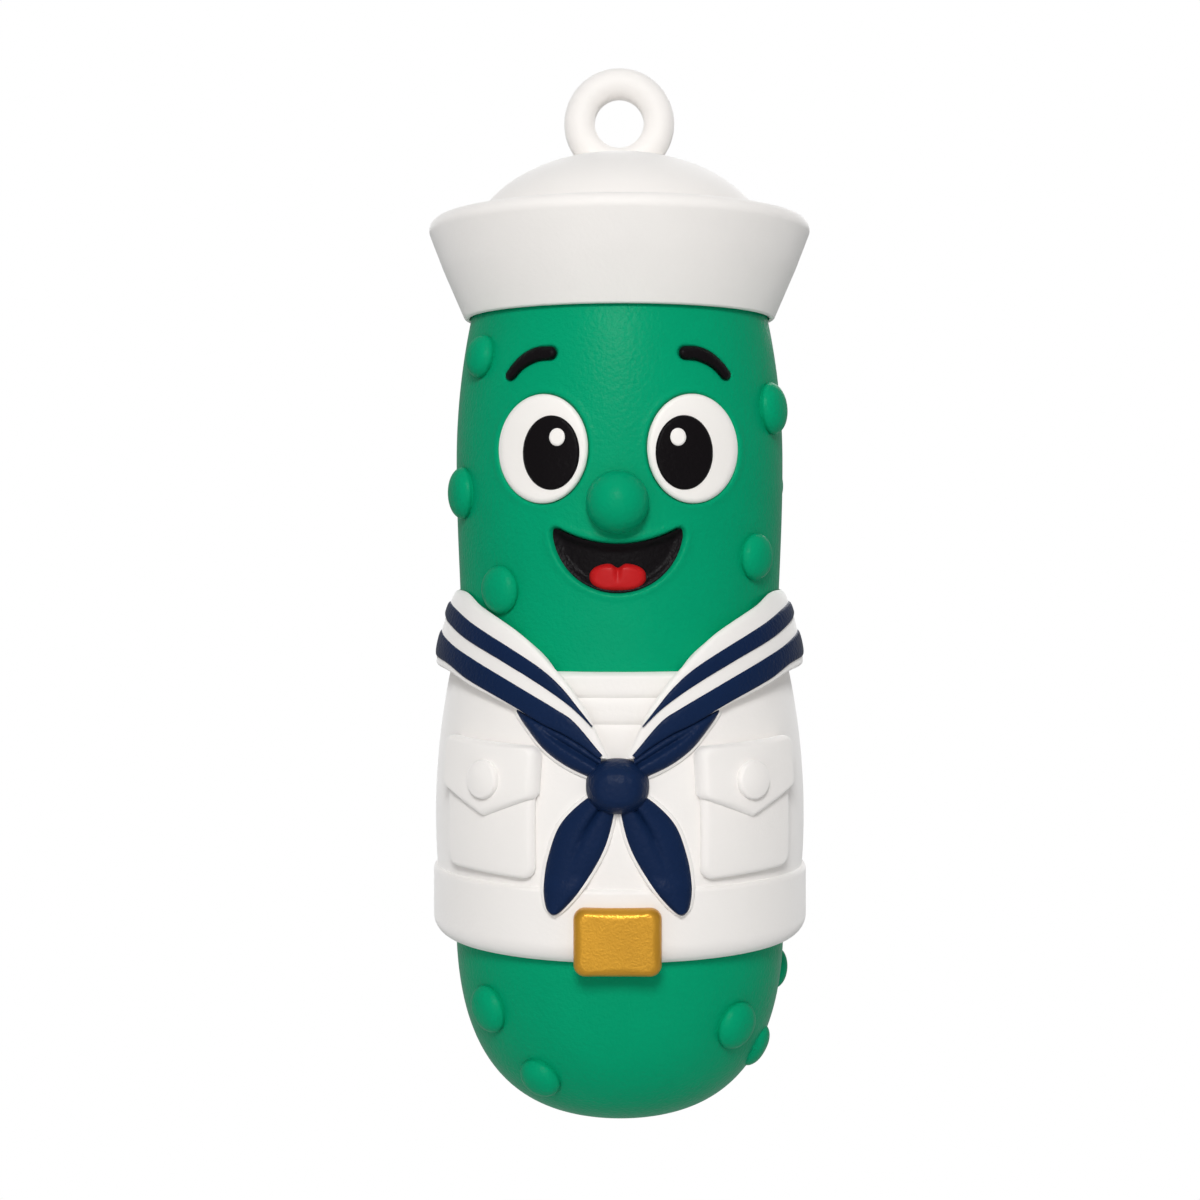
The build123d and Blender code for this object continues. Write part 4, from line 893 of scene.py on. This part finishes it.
# Jumper
# A bellied sleeve of white vinyl drawn over the body, with a rebate for the waistband.
# Its front sinks to the skin inside the V, where the undershirt shows.
JUMPER_LIFT = 2.0 * MM
JUMPER_TOP_WALL = 0.65 * MM
JUMPER_BEDDING = 0.6 * MM
BELLY_DROP = 16.5 * MM
BELLY_GROWTH = 2.15 * MM
V_SINK = 0.3 * MM
WAIST_RADIUS = BODY_RADIUS + 2.4 * MM
REBATE = 1.4 * MM
REBATE_GAP = 0.02 * MM
jumper_top = neckline + JUMPER_LIFT
jumper_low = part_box("jumper")[0].z
belly = neckline - BELLY_DROP
belly_radius = BODY_RADIUS + BELLY_GROWTH


def jumper_radius(level):
    """Radius of the jumper's outside at a level."""
    top = pickle_radius(jumper_top) + JUMPER_TOP_WALL
    share = (np.asarray(level, float) - belly) / (jumper_top - belly)
    return belly_radius - (belly_radius - top) * share**2


jumper_turns = np.linspace(-math.pi, math.pi, 288, endpoint=False)
jumper_rings = []
for level in np.linspace(jumper_top, waist_top - REBATE_GAP, 48):
    radius = np.full(len(jumper_turns), float(jumper_radius(level)))
    v_half = SHIRT_HALF * (level - neckline + SHIRT_DEPTH) / SHIRT_DEPTH
    depth = v_half - np.abs(radius * np.sin(jumper_turns))
    sunk = ease(depth, -0.1 * MM, 0.4 * MM) * (np.cos(jumper_turns) > 0)
    radius += (pickle_radius(level) - V_SINK - radius) * sunk
    jumper_rings.append(round_place(jumper_turns, level, radius))
for level in (waist_top - REBATE_GAP, jumper_low):
    jumper_rings.append(round_place(jumper_turns, level, WAIST_RADIUS - REBATE))
for level in (jumper_low, waist_top, jumper_top):
    jumper_rings.append(round_place(jumper_turns, level, pickle_radius(level) - JUMPER_BEDDING))
jumper = ringed(jumper_rings, closed=True)
add_piece("jumper_body", [(*jumper, white_vinyl)], "pickle", ["jumper"])

# Waistband
# A separate ring of white vinyl, glued in the rebate at the jumper's hem.
# Its upper edge is soft and its lower edge rounder.
BAND_UPPER_ROUND = 0.55 * MM
BAND_LOWER_ROUND = 2.3 * MM
BAND_HEM_ROUND = 0.1 * MM
BAND_HEM_GAP = 0.05 * MM
hem = float(pickle_radius(jumper_low)) + BAND_HEM_GAP
band_corners = [
    (WAIST_RADIUS - REBATE, waist_top),
    (WAIST_RADIUS, waist_top),
    (WAIST_RADIUS, waist_low),
    (hem, waist_low),
    (hem, jumper_low),
    (WAIST_RADIUS - REBATE, jumper_low),
]
band_rounds = [0, BAND_UPPER_ROUND, BAND_LOWER_ROUND, BAND_HEM_ROUND, 0, 0]
waistband = turned(rounded(band_corners, band_rounds, steps=12), closed=True)
add_piece("band", [(*waistband, white_vinyl)], "pickle", ["waistband"])

# Sailor collar
# A thick white vinyl collar over the jumper's top: lapels in front, a square flap behind.
# Two navy vinyl bands are laid in grooves of it, along the outer edge and inside that.
NAVY = (16, 35, 68)
COLLAR_LIFT = 8.4 * MM
COLLAR_SIDE_DIP = 0.35 * MM
COLLAR_DROPS = (0.0, 1.9, 3.9, 6.9, 11.4, 19.4)
COLLAR_GROWTHS = (-0.2, 0.6, 1.25, 1.95, 2.3, 2.7)
COLLAR_SOFTENING = 0.8
NECK_ROLL = 0.45 * MM
NECK_ROLL_WIDTH = 0.7 * MM
EDGE_ROLL = 0.55 * MM
EDGE_ROLL_WIDTH = 0.5 * MM
SKIN_GAP = 0.03 * MM
STRIPE_SWELL = 0.27 * MM
STRIPE_FOOT = 0.03 * MM
GROOVE_DEPTH = 0.5 * MM
FLAP_LIFT = 0.8 * MM
FLAP_HALF = 13.5 * MM
FLAP_LENGTH = 8.6 * MM
FLAP_CORNER = 2.5 * MM
FLAP_TIP_ROUND = 0.9 * MM
FLAP_TIP_LEAST = 0.12 * MM
# Lines down a lapel's front, in mm: (across, drop below the neckline), from the shoulder to the tip
NECK_LINE = [
    (16.7, -7.95), (14.8, -6.6), (12.2, -5.1), (9.5, -3.3),
    (6.5, -0.4), (4.6, 1.8), (3.0, 4.2), (0.9, 8.5)
]
EDGE_LINE = [
    (18.4, 0.45), (15.8, 1.65), (12.9, 2.85), (10.4, 3.9),
    (7.6, 5.22), (5.6, 6.05), (3.6, 7.2), (1.9, 8.5)
]
OUTER_LOW = [
    (18.4, -0.5), (15.8, 1.02), (12.9, 2.4), (10.4, 3.65),
    (7.6, 5.2), (5.6, 6.08), (3.6, 7.25), (1.9, 8.5)
]
OUTER_TOP = [
    (18.7, -3.1), (16.5, -1.8), (14.3, -0.68), (11.6, 0.7),
    (8.9, 2.15), (6.3, 3.6), (4.3, 4.95), (1.5, 8.2)
]
INNER_LOW = [
    (18.2, -4.62), (15.8, -3.02), (12.9, -1.55), (10.2, -0.1),
    (8.2, 1.05), (6.3, 2.25), (4.4, 3.65), (2.6, 5.35)
]
INNER_TOP = [
    (17.5, -6.2), (15.1, -4.65), (12.1, -3.0), (9.4, -1.45),
    (7.3, -0.05), (5.5, 1.6), (4.0, 3.4), (2.5, 5.3)
]
# Each line's drop at the shoulder, and how far inside the flap's edge it runs, in mm
SHOULDER_DROPS = {"edge": 0.0, "outer_low": -1.0, "outer_top": -3.7, "inner_low": -5.4, "inner_top": -6.8}
FLAP_INSETS = {"edge": 0.0, "outer_low": 0.3, "outer_top": 2.05, "inner_low": 3.0, "inner_top": 4.75}
collar_neck = neckline + COLLAR_LIFT
collar_edge = neckline + FLAP_LIFT
navy_vinyl = vinyl("navy vinyl", NAVY, roughness=0.38, grain=0.9, mottle=0.1, gloss=0.075)


def collar_radius(level):
    """Radius of the collar's outside at a level, with its bends softened."""
    drop = (collar_neck - np.asarray(level, float)) / MM
    shifts = (0, -COLLAR_SOFTENING, COLLAR_SOFTENING)
    growth = sum(np.interp(drop + shift, COLLAR_DROPS, COLLAR_GROWTHS) for shift in shifts)
    return BODY_RADIUS + growth / len(shifts) * MM


def front_turns(points):
    """A lapel line's points, from the tip to the shoulder, as (angle, level)."""
    spots = np.array([(x * MM, neckline - drop * MM) for x, drop in points[::-1]])
    return np.stack([np.arcsin(spots[:, 0] / collar_radius(spots[:, 1])), spots[:, 1]], 1)


def back_turn(across, level):
    """A point on the back as (angle, level)."""
    return np.stack([math.pi - np.arcsin(across / collar_radius(level)), level], -1)


def half_line(points, name):
    """One side of a collar line from tip to back: down the lapel, over the shoulder, round the flap."""
    inset = FLAP_INSETS[name] * MM
    side = FLAP_HALF - inset
    shoulder = collar_edge + inset
    bottom = collar_edge - FLAP_LENGTH + inset
    bend = FLAP_CORNER + inset
    tip_round = max(FLAP_TIP_LEAST, FLAP_TIP_ROUND - inset)
    turns = np.linspace(0, math.pi / 2, 11)
    inner = back_turn(side + bend - bend * np.sin(turns), shoulder - bend + bend * np.cos(turns))
    over = [(math.pi / 2, neckline - SHOULDER_DROPS[name] * MM)]
    over += [(inner[0, 0] - 0.15, shoulder), (inner[0, 0], shoulder)]
    front = smooth_path(np.concatenate([front_turns(points), over]), 84)[:-1]
    down = np.linspace(shoulder - bend, bottom + tip_round, 12)[1:-1]
    sides = back_turn(np.full(len(down), side), down)
    corner_turns = np.linspace(0, math.pi / 2, 7)
    corner_x = side - tip_round + tip_round * np.cos(corner_turns)
    corner = back_turn(corner_x, bottom + tip_round - tip_round * np.sin(corner_turns))
    hem_x = np.linspace(side - tip_round, 0, 20)[1:]
    hem_line = back_turn(hem_x, np.full(len(hem_x), bottom))
    return np.concatenate([front, inner, sides, corner, hem_line])


def neck_half(count):
    """The neck edge on one side, from tip to back, with as many points as an outer line."""
    over = [(math.pi / 2, collar_neck - COLLAR_SIDE_DIP), (math.radians(120), collar_neck)]
    front = smooth_path(np.concatenate([front_turns(NECK_LINE), over]), 72)
    rest = np.linspace(front[-1, 0], math.pi, count - len(front) + 1)[1:]
    return np.concatenate([front, np.stack([rest, np.full(len(rest), collar_neck)], 1)])


def both_sides(half):
    """A whole line round the collar from one lapel tip to the other."""
    other = half * np.array([-1, 1])
    return np.concatenate([other, half[::-1][1:]])


def collar_band(first, second, heights_at, under_at, cross, tuck=0.0):
    """Closed band between two lines round the collar. Its underside starts a share in from the first."""
    shares = (1 - np.cos(np.linspace(0, math.pi, cross))) / 2
    under_shares = np.linspace(1, tuck, 9)[:, None]
    rings = []
    for start, stop in zip(first, second):
        if start[0] * stop[0] < 0:
            stop = np.array([-stop[0], stop[1]])
        spots = start * (1 - shares[:, None]) + stop * shares[:, None]
        width = math.hypot((stop[0] - start[0]) * BODY_RADIUS, stop[1] - start[1])
        crest = round_place(spots[:, 0], spots[:, 1], heights_at(spots[:, 1], shares, width))
        back = start * (1 - under_shares) + stop * under_shares
        rings.append(np.concatenate([crest, round_place(back[:, 0], back[:, 1], under_at(back[:, 1]))]))
    return capped(rings)


def collar_heights(level, shares, width):
    """Outside of the collar, rolled over at the neck and at the outer edge."""
    neck_gap = np.clip(shares * width / NECK_ROLL_WIDTH, 0, 1)
    edge_gap = np.clip((1 - shares) * width / EDGE_ROLL_WIDTH, 0, 1)
    roll = NECK_ROLL * (1 - np.sqrt(1 - (1 - neck_gap) ** 2))
    roll += EDGE_ROLL * (1 - np.sqrt(1 - (1 - edge_gap) ** 2))
    return collar_radius(level) - roll


def collar_under(level):
    """Inside of the collar, on the skin or on the jumper."""
    skin = pickle_radius(level) + SKIN_GAP
    return skin + (jumper_radius(level) - skin) * ease(jumper_top - level, 0, 3 * MM)


def stripe_heights(level, shares, width):
    """A band that swells above the collar between its edges."""
    swell = (1 - np.abs(2 * shares - 1) ** 3) ** (1 / 3)
    return collar_radius(level) - STRIPE_FOOT + STRIPE_SWELL * swell


def stripe_under(level):
    """Bottom of a band's groove."""
    return collar_radius(level) - GROOVE_DEPTH


edge_half = half_line(EDGE_LINE, "edge")
neck_line = both_sides(neck_half(len(edge_half)))
collar = collar_band(neck_line, both_sides(edge_half), collar_heights, collar_under, 33, tuck=0.12)
add_piece("sailor_collar", [(*collar, white_vinyl)], "pickle", ["collar"])
for name, top, low in (("outer", OUTER_TOP, OUTER_LOW), ("inner", INNER_TOP, INNER_LOW)):
    top_line = both_sides(half_line(top, f"{name}_top"))
    low_line = both_sides(half_line(low, f"{name}_low"))
    stripe = collar_band(top_line, low_line, stripe_heights, stripe_under, 17)
    add_piece(f"stripe_{name}", [(*stripe, navy_vinyl)], "pickle", [f"collar_stripe_{name}"])

# Neckerchief
# Two wings and two tails of navy vinyl on either side of a round knot, each with a pressed fold.
# A thin white edge of the moulding under them shows round the wings and the tails.
KNOT_DROP = 11.3 * MM
KNOT_HALF = 3.2 * MM
KNOT_UPPER = 2.7 * MM
KNOT_LOWER = 2.85 * MM
KNOT_PAD = {"rise": 2.2 * MM, "edge": 1.5 * MM, "dome": 0.6 * MM}
KNOT_FULLNESS = 0.86
# Edges on the front, in mm: (across, drop below the neckline)
WING_TOP = [(10.6, 3.6), (8.4, 4.45), (6.2, 5.3), (4.2, 6.3), (1.6, 8.2)]
WING_LOW = [(10.6, 3.9), (9.5, 5.45), (7.6, 7.75), (5.2, 9.45), (1.9, 10.9)]
TAIL_OUTER = [(1.0, 11.6), (3.3, 12.6), (5.9, 15.2), (7.2, 18.7), (7.6, 21.6), (7.35, 23.6), (6.75, 24.5)]
TAIL_INNER = [(0.15, 12.2), (0.35, 14.6), (1.05, 17.3), (2.3, 19.8), (4.1, 22.4), (5.6, 24.0), (6.55, 24.6)]
WING_RISE = 1.45 * MM
WING_FOLD = 0.55 * MM
TAIL_RISE = 1.25 * MM
TAIL_FOLD = 0.5 * MM
RIM = 0.27 * MM
RIM_RISE = 0.62 * MM
KERCHIEF_BASE = -0.2 * MM


def front_line(points, sign, count):
    """A smooth line on the front from (across, drop below the neckline) points."""
    return smooth_path([(sign * x * MM, neckline - drop * MM) for x, drop in points], count)


def grown(first, second, amount):
    """The two edges of a strip moved apart."""
    span = second - first
    span /= np.linalg.norm(span, axis=1, keepdims=True) + 1e-12
    return first - span * amount, second + span * amount


def tail_base(level):
    """The jumper, and the waistband where the tails lap over it."""
    rise = ease(-level, -waist_top - 1.6 * MM, -waist_top + 0.1 * MM)
    return jumper_radius(level) + (WAIST_RADIUS - jumper_radius(level)) * rise


def wing_rise(share, across):
    """A fold runs from the knot along the upper part of the wing and fades outwards."""
    ends = min(1.0, math.sqrt(share / 0.22))
    fold = np.exp(-(((across - 0.42) / 0.09) ** 2)) * ease(share, 0.25, 0.7)
    upper = 0.8 + 0.2 * ease(across, 0.1, 0.5)
    return (WING_RISE * upper - WING_FOLD * fold) * ends


def tail_rise(share, across):
    """A fold runs down from the knot and fades at half the length."""
    ends = min(1.0, math.sqrt((1 - share) / 0.1))
    fold = np.exp(-(((across - 0.5) / 0.06) ** 2)) * (1 - ease(share, 0.22, 0.6))
    return (TAIL_RISE - TAIL_FOLD * fold) * ends


def rim_rise(share, across):
    """The white edge under a wing or a tail."""
    return np.full(len(across), RIM_RISE)


on_jumper = on_skin(jumper_radius)
on_tail = on_skin(tail_base)
for side, sign in SIDES:
    for part, first_points, second_points, count, place, rise_at in (
        ("wing", WING_TOP, WING_LOW, 44, on_jumper, wing_rise),
        ("tail", TAIL_OUTER, TAIL_INNER, 60, on_tail, tail_rise),
    ):
        first = front_line(first_points, sign, count)
        second = front_line(second_points, sign, count)
        cloth = strip(place, first, second, rise_at, base=KERCHIEF_BASE, cross=33, power=2.6)
        wider = grown(first, second, RIM)
        edging = strip(place, *wider, rim_rise, base=KERCHIEF_BASE, cross=17, power=6)
        layers = [(*cloth, navy_vinyl), (*edging, white_vinyl)]
        add_piece(f"{part}_{side}", layers, "pickle", [f"kerchief_{part}_{side}"])

knot_spot = np.array([0, neckline - KNOT_DROP])
knot_turns = np.linspace(0, 2 * math.pi, 120, endpoint=False)
knot_x = KNOT_HALF * fuller(np.cos(knot_turns), KNOT_FULLNESS)
knot_z = fuller(np.sin(knot_turns), KNOT_FULLNESS)
knot_z *= np.where(np.sin(knot_turns) > 0, KNOT_UPPER, KNOT_LOWER)
knot_outline = np.stack([knot_x, knot_spot[1] + knot_z], 1)
knot = pad(on_jumper, knot_outline, knot_spot, **KNOT_PAD)
add_piece("knot", [(*knot, navy_vinyl)], "pickle", ["kerchief_knot"])

# Pockets
# White vinyl patches on the jumper with pointed flaps over their tops, all with soft raised edges.
# A domed button is pegged through each flap.
POCKET_WIDTH = 12.3 * MM
POCKET_START = 8.15 * MM
POCKET_TOP = 8.0 * MM
POCKET_FOOT = 1.0 * MM
POCKET_LOW_ROUND = 1.3 * MM
POCKET_TOP_ROUND = 0.3 * MM
POCKET_SLANT = 0.04
POCKET_PAD = {"rise": 1.0 * MM, "edge": 0.6 * MM, "under": 1.1}
FLAP_WIDTH = 13.3 * MM
FLAP_TOP = 7.2 * MM
FLAP_SIDE = 5.15 * MM
FLAP_POINT = 7.7 * MM
FLAP_POINT_SHIFT = 0.5 * MM
FLAP_MIDDLE = 3.2 * MM
FLAP_RISE = 1.7 * MM
FLAP_PAD = {"rise": FLAP_RISE, "edge": 0.7 * MM, "under": 1.1}
FLAP_ROUNDS = [1.0 * MM, 0.9 * MM, 0.9 * MM, 0.9 * MM, 1.0 * MM]
OUTLINE_SPACING = 0.4 * MM
BUTTON_DROP = 11.15 * MM
BUTTON_SHIFT = 0.8 * MM
BUTTON_RADIUS = 2.0 * MM
BUTTON_SEAT = 0.4 * MM
BUTTON_SIDE = 0.25 * MM
BUTTON_BEVEL = 0.4 * MM
BUTTON_BEVEL_SHARE = 0.16
BUTTON_DOME = 0.25 * MM
pocket_turn = math.asin(POCKET_START / belly_radius) + math.asin(POCKET_WIDTH / 2 / belly_radius)
button_angle = math.degrees(pocket_turn - BUTTON_SHIFT / belly_radius)


def dense(outline, spacing):
    """Outline with extra points so that none are further apart than a spacing."""
    points = []
    for start, stop in zip(outline, np.roll(outline, -1, 0)):
        count = max(1, int(np.ceil(np.linalg.norm(stop - start) / spacing)))
        points += [start + (stop - start) * index / count for index in range(count)]
    return np.array(points)


def slanted(corners, rounds, slant):
    """Outline with rounded corners that rises across by a slant."""
    outline = np.array(rounded(corners, rounds))
    outline[:, 1] += slant * outline[:, 0]
    return dense(outline, OUTLINE_SPACING)


button_profile = [(0, -BUTTON_SEAT), (1.0, -BUTTON_SEAT), (1.0, BUTTON_SIDE)]
for turn in np.linspace(0.1, math.pi / 2, 7):
    share = 1 - BUTTON_BEVEL_SHARE * (1 - math.cos(turn))
    button_profile.append((share, BUTTON_SIDE + BUTTON_BEVEL * math.sin(turn)))
for share in np.linspace(1, 0, 10)[1:]:
    dome = BUTTON_DOME * (1 - share**2)
    button_profile.append(((1 - BUTTON_BEVEL_SHARE) * share, BUTTON_SIDE + BUTTON_BEVEL + dome))
pocket_low = waist_top + POCKET_FOOT
pocket_high = neckline - POCKET_TOP
flap_high = neckline - FLAP_TOP
flap_low = flap_high - FLAP_SIDE
for side, sign in SIDES:
    on_pocket = on_skin(jumper_radius, sign * pocket_turn)
    half = POCKET_WIDTH / 2
    pocket_corners = [(-half, pocket_low), (half, pocket_low), (half, pocket_high), (-half, pocket_high)]
    pocket_rounds = [POCKET_LOW_ROUND, POCKET_LOW_ROUND, POCKET_TOP_ROUND, POCKET_TOP_ROUND]
    pocket_outline = slanted(pocket_corners, pocket_rounds, sign * POCKET_SLANT)
    pocket_spot = (0, (pocket_low + pocket_high) / 2)
    pocket = pad(on_pocket, pocket_outline, pocket_spot, **POCKET_PAD)
    add_piece(f"patch_{side}", [(*pocket, white_vinyl)], "pickle", [f"pocket_{side}"])
    half = FLAP_WIDTH / 2
    flap_tip = (-sign * FLAP_POINT_SHIFT, flap_high - FLAP_POINT)
    flap_corners = [(-half, flap_high), (-half, flap_low), flap_tip, (half, flap_low), (half, flap_high)]
    flap_outline = slanted(flap_corners, FLAP_ROUNDS, sign * POCKET_SLANT)
    flap = pad(on_pocket, flap_outline, (0, flap_high - FLAP_MIDDLE), **FLAP_PAD)
    add_piece(f"flap_{side}", [(*flap, white_vinyl)], "pickle", [f"pocket_flap_{side}"])
    button_place = [(sign * button_angle, neckline - BUTTON_DROP, BUTTON_RADIUS, FLAP_RISE)]
    button_nodes = [f"pocket_button_{side}"]
    button_name = f"button_{side}"
    add_studs(
        button_name, button_profile, button_place, jumper_radius, button_nodes, white_vinyl
    )

# Belt buckle
# A plain plate with rounded corners and a soft bevel, painted gold.
# It is glued on the front of the waistband.
GOLD = (204, 149, 45)
BUCKLE_WIDTH = 8.9 * MM
BUCKLE_HEIGHT = 6.9 * MM
BUCKLE_DROP = 5.25 * MM
BUCKLE_CORNER = 1.15 * MM
BUCKLE_SPACING = 0.3 * MM
BUCKLE_PAD = {"rise": 1.2 * MM, "seat": 0.8 * MM, "edge": 1.0 * MM}
GOLD_FINENESS = 3800


def on_front(across, level, rise):
    """Points in front of the waistband's foremost line."""
    return np.stack([across, -(WAIST_RADIUS + rise) + 0 * across, level], -1)


gold_paint = vinyl(
    "gold paint",
    GOLD,
    roughness=0.36,
    grain=0.45,
    mottle=0.12,
    metal=0.55,
    gloss=0.3,
    fineness=GOLD_FINENESS,
)
buckle_level = waist_top - BUCKLE_DROP
half_width, half_height = BUCKLE_WIDTH / 2, BUCKLE_HEIGHT / 2
buckle_corners = [
    (-half_width, buckle_level - half_height),
    (half_width, buckle_level - half_height),
    (half_width, buckle_level + half_height),
    (-half_width, buckle_level + half_height),
]
buckle_outline = dense(np.array(rounded(buckle_corners, [BUCKLE_CORNER] * 4)), BUCKLE_SPACING)
buckle = pad(on_front, buckle_outline, (0, buckle_level), **BUCKLE_PAD)
add_piece("buckle", [(*buckle, gold_paint)], "pickle", ["belt_buckle"])

# Studio
# A pale floor below the hanging figure, which turns white away from its soft shadow.
# White surroundings and soft square lamps in front, above and behind light the figure.
FLOOR_LEVEL = -165 * MM
FLOOR_HALF = 2.0
FLOOR_GREY = (0.6, 0.6, 0.6, 1)
SHADOW_REACH = 60 * MM
SHADOW_WHITE = 0.6
WHITE_REACH = 150 * MM
ROOM_LIGHT = 0.38
FIGURE_MIDDLE = (0, 0, -0.055)
# Each lamp's place and size in metres, and its power in watts
LAMPS = {
    "key": ((-0.03, -0.85, 0.42), 0.24, 5.4),
    "fill": ((-0.1, -0.75, -0.4), 0.8, 4.6),
    "top": ((0.0, -0.2, 0.8), 0.5, 0.3),
    "back": ((0.1, 0.8, 0.4), 0.6, 2.5),
}
floor_mesh = bpy.data.meshes.new("floor")
floor_corners = [(-1, -1), (1, -1), (1, 1), (-1, 1)]
floor_points = [(x * FLOOR_HALF, y * FLOOR_HALF, FLOOR_LEVEL) for x, y in floor_corners]
floor_mesh.from_pydata(floor_points, [], [(0, 1, 2, 3)])
floor = bpy.data.objects.new("floor", floor_mesh)
bpy.context.collection.objects.link(floor)
floor_material = bpy.data.materials.new("pale floor")
floor_material.use_nodes = True
tree = floor_material.node_tree
paint = tree.nodes["Principled BSDF"]
paint.inputs["Base Color"].default_value = FLOOR_GREY
paint.inputs["Roughness"].default_value = 0.9
paint.inputs["Specular IOR Level"].default_value = 0
glow = wire(tree, "ShaderNodeEmission", {})
camera_ray = wire(tree, "ShaderNodeLightPath", {}, out="Is Camera Ray")
place = wire(tree, "ShaderNodeTexCoord", {}, out="Object")
below = (0, 0, FLOOR_LEVEL)
away = wire(tree, "ShaderNodeVectorMath", {0: place, 1: below}, out="Value", operation="DISTANCE")
fading = {"Value": away, "From Min": SHADOW_REACH, "From Max": WHITE_REACH, "To Min": SHADOW_WHITE}
fade = wire(tree, "ShaderNodeMapRange", fading, interpolation_type="SMOOTHSTEP")
seen = wire(tree, "ShaderNodeMath", {0: camera_ray, 1: fade}, operation="MULTIPLY")
blend = wire(tree, "ShaderNodeMixShader", {"Fac": seen, 1: paint.outputs["BSDF"], 2: glow})
tree.links.new(blend, tree.nodes["Material Output"].inputs["Surface"])
floor_mesh.materials.append(floor_material)

world = bpy.data.worlds.new("white room")
bpy.context.scene.world = world
world.use_nodes = True
tree = world.node_tree
camera_ray = wire(tree, "ShaderNodeLightPath", {}, out="Is Camera Ray")
strength = wire(tree, "ShaderNodeMapRange", {"Value": camera_ray, "To Min": ROOM_LIGHT, "To Max": 1.0})
room = tree.nodes["Background"]
room.inputs["Color"].default_value = (1, 1, 1, 1)
tree.links.new(strength, room.inputs["Strength"])

for name, (lamp_place, size, power) in LAMPS.items():
    light = bpy.data.lights.new(name, "AREA")
    light.size = size
    light.energy = power
    lamp = bpy.data.objects.new(name, light)
    lamp.location = lamp_place
    lamp.rotation_euler = (Vector(FIGURE_MIDDLE) - Vector(lamp_place)).to_track_quat("-Z", "Y").to_euler()
    bpy.context.collection.objects.link(lamp)

# Camera
# It stands close in front of the figure, a little above its middle, and looks slightly down.
# Its lens and distance give the photograph's perspective.
CAMERA_PLACE = (2.5 * MM, -231 * MM, -46.2 * MM)
CAMERA_AIM = (-2.15 * MM, 0, -52.1 * MM)
CAMERA_ROLL = math.radians(-0.05)
camera_data = bpy.data.cameras.new("camera")
camera_data.sensor_width = 36
camera_data.lens = 63
camera = bpy.data.objects.new("camera", camera_data)
camera.location = CAMERA_PLACE
aim = Vector(CAMERA_AIM) - camera.location
roll = Quaternion((0, 0, 1), CAMERA_ROLL)
camera.rotation_euler = (aim.to_track_quat("-Z", "Y") @ roll).to_euler()
bpy.context.collection.objects.link(camera)
bpy.context.scene.camera = camera
bpy.context.scene.view_settings.view_transform = "Standard"
